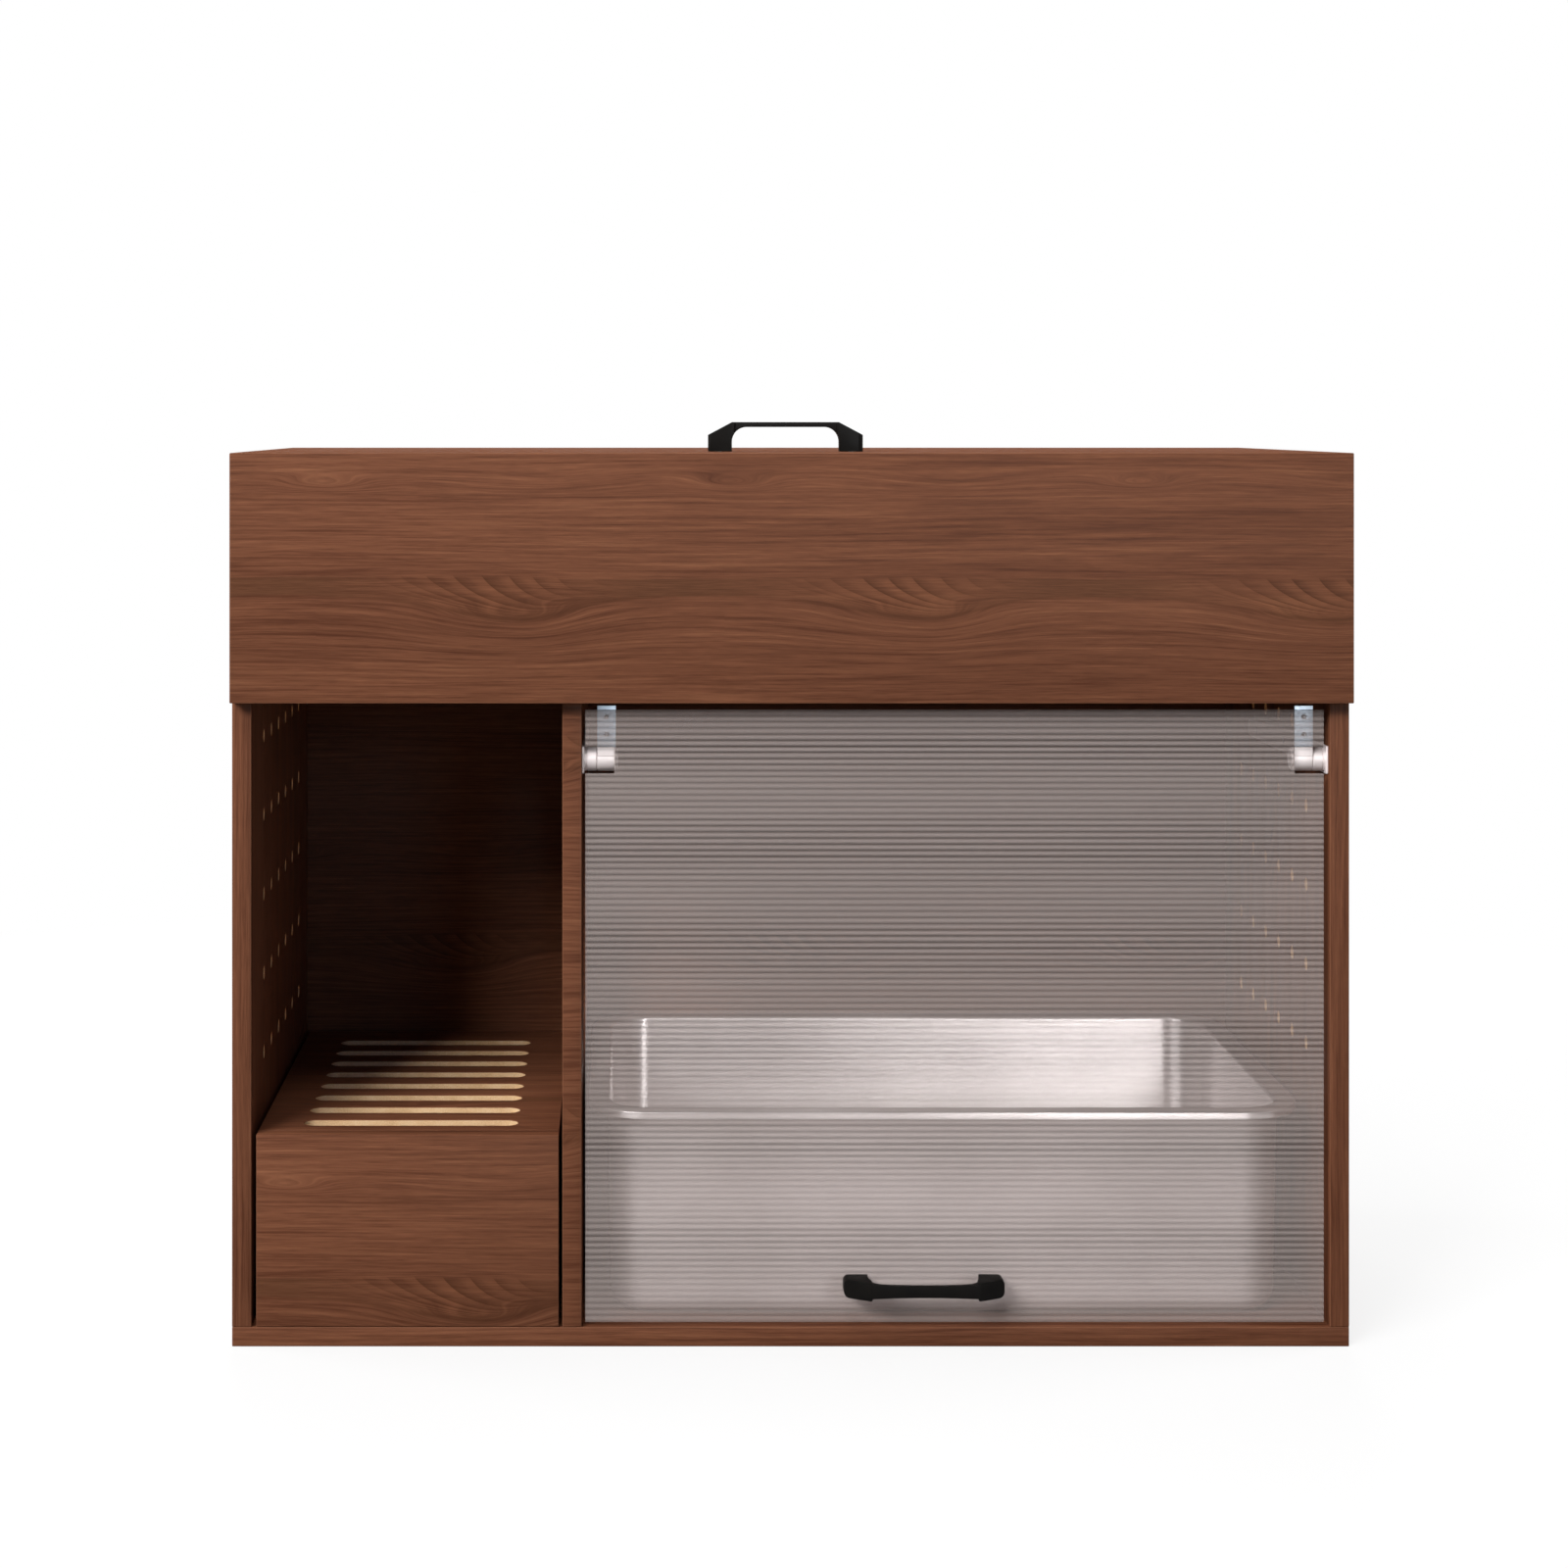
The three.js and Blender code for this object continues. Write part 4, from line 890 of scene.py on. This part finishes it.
def carcass():
    board("bottom_panel", Z, X, (0.13, 0.37))
    board("left_side_panel", X, Z, (0.21, 0.52), vents("left"), cam_tools("fascia", "left", RIGHT))
    board("right_side_panel", X, Z, (0.05, 0.31), vents("right"),
          cam_tools("fascia", "right", LEFT) + strap_tools("right"))
    board("divider_panel", X, Z, (0.33, 0.44), [doorway()], strap_tools("left"),
          faces={Y: X}, hole_slot=0)
    back_tools = cam_tools("back", "left", BACK) + cam_tools("back", "right", BACK)
    back_tools += holes_for("lid_hinge_screw_back", (1, 2, 3, 4), BACK, EDGE_SCREW)
    board("back_panel", Y, X, (0.07, 0.06), tools=back_tools)
    board("front_fascia", Y, X)


def lid():
    tools = holes_for("lid_hinge_screw_lid", (1, 2, 3, 4), BACK, EDGE_SCREW)
    low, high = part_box("lid_panel")
    for i in (1, 2):
        tools.append(handle_bore(f"lid_handle_screw_{i}", UP, (low.z + high.z) / 2, 2))
    board("lid_panel", Z, X, (0.24, 0.11), tools=tools)


def grooved(outer, inner, low, high):
    """Section of a drawer's wall, with the groove for the drawer's bottom in its inner face."""
    floor_low, floor_high = span("drawer_bottom", Z)
    groove_low, groove_high = floor_low - RUNNING_GAP, floor_high + RUNNING_GAP
    deep = inner + math.copysign(GROOVE_DEPTH, outer - inner)
    section = [
        (outer, low), (inner, low), (inner, groove_low), (deep, groove_low),
        (deep, groove_high), (inner, groove_high), (inner, high), (outer, high),
    ]
    return rounded(section if outer < inner else section[::-1], CORNER_ROUND)


def drawer():
    low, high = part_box("drawer_front")
    board("drawer_front", X, X, (0.033, 0.5815), outline=grooved(low.y, high.y, low.z, high.z))
    for side, seed in (("left", 0.4), ("right", 0.9)):
        low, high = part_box(f"drawer_{side}_side")
        outer, inner = (low.x, high.x) if side == "left" else (high.x, low.x)
        board(f"drawer_{side}_side", Y, Y, (seed, 0.3),
              outline=grooved(outer, inner, low.z, high.z))
    low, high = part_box("drawer_back")
    board("drawer_back", X, X, (0.5, 0.2), outline=grooved(high.y, low.y, low.z, high.z))
    low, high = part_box("drawer_bottom")
    outline = rounded(rectangle(low.x, low.y, high.x, high.y), HARDBOARD_CORNER)
    bottom = plate("drawer_bottom_board", Z, (low.z, high.z), outline, edge=HARDBOARD_ROUND)
    settle(bottom, "drawer_bottom", [HARDBOARD])


def deck():
    centre_x = middle("slatted_deck").x
    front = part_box("drawer_front")[0].y
    half = SLOT_LENGTH / 2 - SLOT_RADIUS
    slots = []
    for i in range(SLOT_COUNT):
        y = front + FIRST_SLOT_SETBACK + i * SLOT_PITCH
        slots.append(
            arc(centre_x + half, y, SLOT_RADIUS, -90, 90, SLOT_END_SIDES)
            + arc(centre_x - half, y, SLOT_RADIUS, 90, 270, SLOT_END_SIDES)
        )
    board("slatted_deck", Z, X, (0.11, 0.09), slots)


# The flap door's reeded sheet, its hinges and its pins.

def door_sheet():
    low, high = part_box("reeded_door_sheet")
    pitch = (high.z - low.z) / REED_COUNT
    outline = [(high.y, low.z), (high.y, high.z)]
    for reed in range(REED_COUNT):
        for step in range(REED_STEPS):
            share = step / REED_STEPS
            depth = REED_DEPTH * (1 - math.sin(math.pi * share))
            outline.append((low.y + depth, high.z - (reed + share) * pitch))
    outline.append((low.y + REED_DEPTH, low.z))
    piece = plate("reeded_sheet_fine", X, (low.x, high.x), outline, edge=0)
    tools = leaf_tools("left") + leaf_tools("right")
    for i in (1, 2):
        tools.append(handle_bore(f"door_handle_screw_{i}", BACK, (low.y + high.y) / 2, 0))
    through = (low.y - NOTCH_TOOL_REACH, high.y + NOTCH_TOOL_REACH)
    for side, edge in (("left", low.x), ("right", high.x)):
        pin = middle(f"door_hinge_pin_{side}")
        inward = INWARD[side][0]
        x = sorted((edge - inward * HOLE_OVERRUN, edge + inward * NOTCH_REACH))
        outline = rectangle(x[0], pin.z - NOTCH_HALF, x[1], pin.z + NOTCH_HALF)
        tools.append(plate(f"notch_{side}", Y, through, outline, edge=0))
    combine(piece, tools, "DIFFERENCE")
    settle(piece, "reeded_door_sheet", [SHEET])


def strap(side):
    """A plate along the wall that tapers to the back, with the fixed barrel at its front."""
    node = f"door_hinge_strap_{side}"
    low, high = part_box(node)
    inward = INWARD[side]
    wall = low.x if side == "left" else high.x
    face = wall + inward[0] * STRAP_THICKNESS
    pin = middle(f"door_hinge_pin_{side}")
    r = STRAP_BACK_RADIUS
    bottom = pin.z - STRAP_FRONT_HEIGHT / 2
    back_top = bottom + STRAP_BACK_HEIGHT
    front = low.y
    outline = [
        (front, bottom),
        *arc(high.y - r, bottom + r, r, -90, 0, 8),
        *arc(high.y - r, back_top - r, r, 0, 90, 8),
        (front + STRAP_TAPER_RUN, bottom + STRAP_FRONT_HEIGHT),
        (front, bottom + STRAP_FRONT_HEIGHT),
    ]
    outline = rounded(outline, STRAP_CORNER)
    piece = plate(f"{node}_fine", X, sorted((wall, face)), outline, edge=HINGE_ROUND)
    length = high.x - low.x
    ring, ring_end = BARREL_RING_SETBACK, BARREL_RING_SETBACK + BARREL_RING_WIDTH
    outer, inner = BARREL_RADIUS, BARREL_PIN_RADIUS + RUNNING_GAP
    slim, slope = outer - BARREL_RING_DEPTH, 0.1 * MM
    profile = [
        (inner, 0), (outer, 0), (outer, ring), (slim, ring + slope), (slim, ring_end - slope),
        (outer, ring_end), (outer, length - BARREL_CHAMFER), (outer - BARREL_CHAMFER, length),
        (inner, length), (inner, 0),
    ]
    centre = Vector((wall, pin.y, pin.z))
    combine(piece, [aim(turned("barrel", profile), centre, inward)], "UNION")
    pin_bore = turned("pin_bore", bore(inner, -HOLE_OVERRUN, 2 * STRAP_THICKNESS))
    tools = [aim(pin_bore, centre, inward)] + strap_tools(side, 0)
    combine(piece, tools, "DIFFERENCE")
    settle(piece, node, [SATIN, SATIN])


def leaf(side):
    """A plate on the door's back that runs into a ring round the pin."""
    node = f"door_hinge_leaf_{side}"
    low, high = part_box(node)
    pin = middle(f"door_hinge_pin_{side}")
    back = low.y + LEAF_THICKNESS
    start = 180 - math.degrees(math.acos((pin.y - back) / BARREL_RADIUS))
    foot = math.degrees(LEAF_FOOT_ANGLE)
    outline = [
        (low.y, pin.z + BARREL_RADIUS * math.sin(LEAF_FOOT_ANGLE)),
        (low.y, pin.z + NOTCH_HALF),
        (low.y, high.z),
        (back, high.z),
        *arc(pin.y, pin.z, BARREL_RADIUS, start, -180 - foot, 44),
    ][::-1]
    hole = circle(pin.y, pin.z, BARREL_PIN_RADIUS + RUNNING_GAP, ROUND_SIDES)
    piece = plate(f"{node}_fine", X, (low.x, high.x), outline, [hole], HINGE_ROUND, 0)
    combine(piece, leaf_tools(side), "DIFFERENCE")
    for polygon in piece.data.polygons:
        polygon.material_index = 1 if polygon.center.z > pin.z + NOTCH_HALF else 0
    settle(piece, node, [SATIN, PLATED])


def barrel_pin(side):
    node = f"door_hinge_pin_{side}"
    low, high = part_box(node)
    length = high.x - low.x
    shaft = length - BARREL_PIN_HEAD
    radius, head, soft = BARREL_PIN_RADIUS, BARREL_PIN_HEAD_RADIUS, 0.4 * MM
    profile = [
        (0, 0), (radius, 0), (radius, shaft), (head, shaft), (head, length - soft),
        (head - soft, length), (0, length),
    ]
    wall = end_point(node, [-k for k in INWARD[side]])
    piece = aim(turned(f"{node}_fine", profile), wall, INWARD[side])
    settle(piece, node, [SATIN])


# Lid hinges.

def lid_leaf(node, edge, down):
    """A butt hinge's plate, from its edge by the pin to round corners at its far end."""
    low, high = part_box(node)
    r = LID_LEAF_CORNER
    near = [(low.x, edge), (high.x, edge)]
    centre_z, start = (low.z + r, 180) if down else (high.z - r, 0)
    centres = (low.x + r, high.x - r) if down else (high.x - r, low.x + r)
    far = [
        point for i, x in enumerate(centres)
        for point in arc(x, centre_z, r, start + 90 * i, start + 90 * (i + 1), 6)
    ]
    outline = far + near[::-1] if down else near + far
    span_y = (low.y, low.y + LID_LEAF_THICKNESS)
    return plate(f"{node}_fine", Y, span_y, outline, edge=LID_HINGE_ROUND)


def lid_hinges():
    third = LID_HINGE_LENGTH / 3
    spans = {
        "fixed": [(0, third - RUNNING_GAP), (2 * third + RUNNING_GAP, 3 * third)],
        "moving": [(third, 2 * third)],
    }
    reach = LID_HINGE_LENGTH / 2 + HOLE_OVERRUN
    pin_bore = bore(LID_PIN_RADIUS + RUNNING_GAP, -reach, reach)
    overlap = 0.1 * MM
    for number in (1, 2):
        pin = middle(f"lid_hinge_pin_{number}")
        left = pin.x - LID_HINGE_LENGTH / 2
        for kind, label in (("fixed", "back"), ("moving", "lid")):
            node = f"lid_hinge_{kind}_leaf_{number}"
            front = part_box(node)[0].y
            down = kind == "fixed"
            edge = pin.z + (-1 if down else 1) * (LID_KNUCKLE_RADIUS + RUNNING_GAP)
            piece = lid_leaf(node, edge, down)
            ring = circle(pin.y, pin.z, LID_KNUCKLE_RADIUS, 32)
            tongue = rectangle(front, min(pin.z, edge) - overlap,
                               front + LID_LEAF_THICKNESS, max(pin.z, edge) + overlap)
            parts = []
            for start, end in spans[kind]:
                x = (left + start, left + end)
                parts.append(plate("knuckle", X, x, ring, edge=LID_HINGE_ROUND))
                parts.append(plate("tongue", X, x, tongue, edge=0))
            combine(piece, parts, "UNION")
            tools = [aim(turned("lid_pin_bore", pin_bore, 24), pin, RIGHT)]
            numbers = (2 * number - 1, 2 * number)
            tools += holes_for(f"lid_hinge_screw_{label}", numbers, BACK, EDGE_SCREW, 0)
            combine(piece, tools, "DIFFERENCE")
            settle(piece, node, [SATIN, SATIN])


# Fasteners.

def cross(size):
    """Outline of a cross recess."""
    arm, half = size, size * RECESS_ARM_SHARE
    return [
        (half, -arm), (half, -half), (arm, -half), (arm, half), (half, half), (half, arm),
        (-half, arm), (-half, half), (-arm, half), (-arm, -half), (-half, -half), (-half, -arm),
    ]


def fastener(node, direction, profile, recess, depth):
    """A turned piece, head up at the end of its node's box, with a cross recess in its head.
    The profile starts at the rim of the flat foot and ends at the rim of the flat top."""
    builder = Builder()
    rings = builder.turn(profile, SCREW_SIDES)
    builder.stack(rings)
    top = profile[-1][1]
    mouth = builder.ring([(a, b, top) for a, b in cross(recess)])
    floor_outline = cross(recess * RECESS_FLOOR_SHARE)
    floor = builder.ring([(a, b, top - depth) for a, b in floor_outline])
    builder.caps([[rings[0]]])
    builder.caps([[rings[-1], mouth]])
    builder.bridge(floor, mouth)
    builder.caps([[floor]])
    piece = link(f"{node}_fine", builder.mesh(node))
    aim(piece, end_point(node, direction), direction)
    settle(piece, node, [ZINC])


def sunk_screw(node, direction, spec):
    length = length_along(node, direction)
    shank, head = spec["shank"], spec["head"]
    profile = [
        (shank * 0.25, -length), (shank, -length + SCREW_TIP), (shank, -spec["cone"]),
        (head - 0.1 * MM, -0.25 * MM), (head, -0.1 * MM), (head - 0.15 * MM, 0),
    ]
    fastener(node, direction, profile, recess=head * 0.58, depth=0.9 * MM)


def dome_screw(node, direction):
    head, dome, shank = MACHINE_SCREW["head"], MACHINE_SCREW["dome"], MACHINE_SCREW["shank"]
    length = length_along(node, direction)
    rise = dome * 0.7
    profile = [(shank, -length), (shank, -dome), (head, -dome), (head, -rise)]
    for i in range(1, 6):
        angle = math.pi / 2 * i / 6
        radius = head * (0.45 + 0.55 * math.cos(angle))
        profile.append((radius, -rise * (1 - math.sin(angle))))
    profile.append((head * 0.5, 0))
    fastener(node, direction, profile, recess=head * 0.45, depth=1.1 * MM)


def cam(node, direction):
    soft = 0.4 * MM
    length = length_along(node, direction)
    profile = [(CAM_RADIUS, -length), (CAM_RADIUS, -soft), (CAM_RADIUS - soft, 0)]
    fastener(node, direction, profile, recess=3.4 * MM, depth=2.5 * MM)


def lid_pin(node):
    half = length_along(node, RIGHT) / 2
    head, thick, soft = LID_PIN_HEAD_RADIUS, LID_PIN_HEAD, 0.3 * MM
    radius = LID_PIN_RADIUS
    profile = [
        (0, -half), (head - soft, -half), (head, -half + soft), (head, -half + thick),
        (radius, -half + thick), (radius, half - thick), (head, half - thick),
        (head, half - soft), (head - soft, half), (0, half),
    ]
    piece = aim(turned(f"{node}_fine", profile, 32), middle(node), RIGHT)
    settle(piece, node, [SATIN])


def fasteners():
    for side in ("left", "right"):
        for i in (1, 2):
            cam(f"fascia_cam_lock_{side}_{i}", INWARD[side])
            cam(f"back_cam_lock_{side}_{i}", BACK)
            sunk_screw(f"leaf_screw_{side}_{i}", BACK, WOOD_SCREW)
        for i in (1, 2, 3):
            sunk_screw(f"strap_screw_{side}_{i}", INWARD[side], WOOD_SCREW)
    for i in (1, 2, 3, 4):
        sunk_screw(f"lid_hinge_screw_back_{i}", BACK, EDGE_SCREW)
        sunk_screw(f"lid_hinge_screw_lid_{i}", BACK, EDGE_SCREW)
    for i in (1, 2):
        dome_screw(f"lid_handle_screw_{i}", DOWN)
        dome_screw(f"door_handle_screw_{i}", BACK)
        lid_pin(f"lid_hinge_pin_{i}")


# Bow handles.

def handle(node, direction):
    """The side view and the waisted front view, each pushed through, their overlap rounded."""
    low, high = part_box(node)
    half = (high.x - low.x) / 2
    up = axis_of(direction)
    standoff = high[up] - low[up]
    cross_axis = Y if up == Z else Z
    wide = (high[cross_axis] - low[cross_axis]) / 2
    inner = half - HANDLE_FOOT
    underside = standoff - HANDLE_BAR_THICKNESS
    r = HANDLE_INNER_RADIUS
    side = [
        (half, 0), (half, HANDLE_SHOULDER_HEIGHT), (half - HANDLE_SHOULDER_RUN, standoff),
        (-half + HANDLE_SHOULDER_RUN, standoff), (-half, HANDLE_SHOULDER_HEIGHT), (-half, 0),
        (-inner, 0),
        *arc(-inner + r, underside - r, r, 180, 90, 14),
        *arc(inner - r, underside - r, r, 90, 0, 14),
        (inner, 0),
    ]
    neck = HANDLE_NECK_WIDTH / 2
    waist = HANDLE_WAIST_WIDTH / 2
    end = inner - HANDLE_NECK_RUN
    corner = HANDLE_BLOCK_CORNER
    quarter = [
        *arc(half - corner, wide - corner, corner, 0, 90, 8),
        (inner, wide),
        *bezier((inner, wide), (end, wide), (inner, neck), (end, neck)),
    ]
    waist_run = bezier((end, neck), (end * 0.4, waist), (-end * 0.4, waist), (-end, neck), 16)
    upper = quarter + waist_run[:-1] + [(-a, b) for a, b in reversed(quarter)]
    front = upper + [(-a, -b) for a, b in upper]
    piece = plate(f"{node}_fine", Y, (-20 * MM, 20 * MM), side, edge=0)
    mask = plate("handle_mask", Z, (-1 * MM, standoff + 1 * MM), front, edge=0)
    combine(piece, [mask], "INTERSECT")
    clean(piece.data, 1e-5, join=True)
    rounding = piece.modifiers.new("rounding", "BEVEL")
    rounding.width = HANDLE_ROUND
    rounding.segments = 4
    rounding.limit_method = "ANGLE"
    rounding.angle_limit = math.radians(32)
    apply_modifiers(piece)
    foot = Vector(middle(node))
    foot[up] = low[up] if direction[up] > 0 else high[up]
    turn = Matrix.Rotation(math.pi / 2, 4, "X") if up == Y else Matrix.Identity(4)
    piece.data.transform(Matrix.Translation(foot) @ turn)
    settle(piece, node, [BLACK])


# The litter pan.

def pan_section():
    """Pairs of inset from the rim's box and height: up the outside, over the rim and down."""
    low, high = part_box("litter_pan")
    height = high.z - low.z
    wall, rim, drop = PAN_WALL, PAN_RIM, PAN_LIP_DROP
    foot = rim + PAN_DRAFT

    def floor_arc(start, radius, level):
        return [
            (start + radius * (1 - math.sin(t)), level + radius * (1 - math.cos(t)))
            for t in (math.pi / 2 * i / PAN_ARC_STEPS for i in range(PAN_ARC_STEPS + 1))
        ]

    lip_arc = [
        (wall * (1 - math.sin(t)), height - wall * (1 - math.cos(t)))
        for t in (math.pi / 2 * (1 - i / 4) for i in range(5))
    ]
    shoulder = [
        (rim + PAN_SHOULDER_RADIUS * math.sin(t), height - PAN_SHOULDER_RADIUS * (1 - math.cos(t)))
        for t in (math.pi / 2 * i / 5 for i in range(1, 6))
    ]
    outside = floor_arc(foot, PAN_FLOOR_RADIUS, 0)
    inside = floor_arc(foot + wall, PAN_FLOOR_RADIUS - wall, wall)
    return [
        *outside,
        (rim + 0.2 * MM, height - 2 * wall), (rim, height - wall), (wall, height - wall),
        (wall, height - drop), (wall / 2, height - drop - wall / 3), (0, height - drop),
        *lip_arc, (rim, height), *shoulder, *inside[::-1],
    ]


def pan_ring(half_x, half_y, radius, z, centre):
    points = []
    for corner, (sign_x, sign_y) in enumerate([(1, 1), (-1, 1), (-1, -1), (1, -1)]):
        for a, b in arc(sign_x * (half_x - radius), sign_y * (half_y - radius), radius,
                        corner * 90, corner * 90 + 90, PAN_CORNER_STEPS):
            points.append((centre.x + a, centre.y + b, z))
    return points


def litter_pan():
    low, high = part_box("litter_pan")
    centre = (low + high) / 2
    half_x, half_y, corner = (high.x - low.x) / 2, (high.y - low.y) / 2, PAN_RIM_CORNER
    builder = Builder()
    rings = [
        builder.ring(pan_ring(half_x - depth, half_y - depth, corner - depth, low.z + z, centre))
        for depth, z in pan_section()
    ]
    under_rim = PAN_ARC_STEPS + 2
    builder.stack(rings[:under_rim + 1], 1)
    builder.stack(rings[under_rim:])
    builder.caps([[rings[0]]], slot=1)
    builder.caps([[rings[-1]]])
    piece = link("litter_pan_fine", builder.mesh("litter_pan_fine"))
    settle(piece, "litter_pan", [STEEL, MATT_STEEL])


# Floor, light and camera

FLOOR_REACH = 30.0
PAPER_WHITE = (0.86, 0.86, 0.86, 1)
FLOOR_LIFT = 0.8
PAPER_DARK = (0.15, 0.15, 0.15, 1)
FLOOR_FADE = (0.9, 2.0)
WORLD_LIGHT = 0.03
WORLD_GLOSS = (0.8, 0.06)
GLOSS_FADE = (-0.3, 0.1)
CAMERA_PLACE = (-0.1353, -2.5855, 0.7676)
CAMERA_LENS = 66.0
CAMERA_SHIFT = (0.100, -0.2325)


def floor():
    """White paper that keeps the object's shadow near it and fades into the white behind. It
    throws little light back up, as dark paper would."""
    reach = FLOOR_REACH
    data = bpy.data.meshes.new("studio_floor")
    corners = [(-reach, -reach, 0), (reach, -reach, 0), (reach, reach, 0), (-reach, reach, 0)]
    data.from_pydata(corners, [], [(0, 1, 2, 3)])
    tree = Tree("studio_paper")
    tree.nodes.remove(tree.shader)
    paper = tree.node("BsdfDiffuse", {"Color": PAPER_WHITE})
    glow = tree.node("Emission", {"Color": (1, 1, 1, 1), "Strength": 1.0})
    dark = tree.node("BsdfDiffuse", {"Color": PAPER_DARK})
    place = tree.place()
    away = tree.node("VectorMath", {0: place}, operation="LENGTH").outputs["Value"]
    lift = tree.spread(away, *FLOOR_FADE, FLOOR_LIFT, 1.0)
    seen = tree.node("MixShader", {0: lift, 1: paper.outputs[0], 2: glow.outputs[0]})
    lighting = tree.node("LightPath").outputs["Is Diffuse Ray"]
    both = tree.node("MixShader", {0: lighting, 1: seen.outputs[0], 2: dark.outputs[0]})
    tree.links.new(both.outputs[0], tree.nodes["Material Output"].inputs["Surface"])
    data.materials.append(tree.owner)
    link("studio_floor", data)


def world():
    """White behind the object, a little light from all round, and more in what shines, from the
    front."""
    tree = Tree("studio", world=True)
    bpy.context.scene.world = tree.owner
    path = tree.node("LightPath").outputs
    seen = tree.math("MAXIMUM", path["Is Camera Ray"], path["Is Transmission Ray"])
    direction = tree.node("SeparateXYZ", {0: tree.node("TexCoord").outputs["Generated"]})
    gloss = tree.spread(direction.outputs["Y"], *GLOSS_FADE, *WORLD_GLOSS)
    level = tree.spread(path["Is Glossy Ray"], 0.0, 1.0, WORLD_LIGHT, gloss)
    tree.finish(Color=(1, 1, 1, 1), Strength=tree.math("MAXIMUM", seen, level))


# Each lamp's name, place, size and power, and the kind of ray that doesn't see it.
LAMPS = [
    ("key", (-4.4, -5.5, 4.5), (4.2, 2.2), 690, None),
    ("strip", (0.85, -3.2, 1.1), (0.5, 0.6), 72, "diffuse"),
    ("high", (-0.4, -2.2, 4.2), (0.8, 1.2), 38, None),
    ("top", (0.0, 0.6, 3.2), (2.0, 2.0), 20, None),
    ("left", (-3.2, 0.5, 1.6), (1.6, 2.2), 60, None),
    ("right", (3.2, 0.5, 1.6), (1.6, 2.2), 60, None),
    ("rear", (0.0, 3.4, 2.2), (2.6, 1.8), 100, "glossy"),
]
LAMP_TARGET = (0, 0, 0.4)


def studio():
    for name, place, size, power, unseen_by in LAMPS:
        data = bpy.data.lights.new(name, "AREA")
        data.shape = "RECTANGLE"
        data.size, data.size_y = size
        data.energy = power
        lamp = link(name, data)
        lamp.location = place
        aimed = Vector(LAMP_TARGET) - Vector(place)
        lamp.rotation_euler = aimed.to_track_quat("-Z", "Y").to_euler()
        if unseen_by:
            setattr(lamp, f"visible_{unseen_by}", False)


def camera():
    data = bpy.data.cameras.new("camera")
    data.lens = CAMERA_LENS
    data.shift_x, data.shift_y = CAMERA_SHIFT
    eye = link("camera", data)
    eye.location = CAMERA_PLACE
    eye.rotation_euler = (math.pi / 2, 0, 0)
    bpy.context.scene.camera = eye


camera()
carcass()
lid()
drawer()
deck()
door_sheet()
for hinge_side in ("left", "right"):
    strap(hinge_side)
    leaf(hinge_side)
    barrel_pin(hinge_side)
lid_hinges()
fasteners()
handle("lid_handle", UP)
handle("door_handle", (0, -1, 0))
litter_pan()
floor()
world()
studio()
bpy.context.scene.view_settings.view_transform = "Standard"
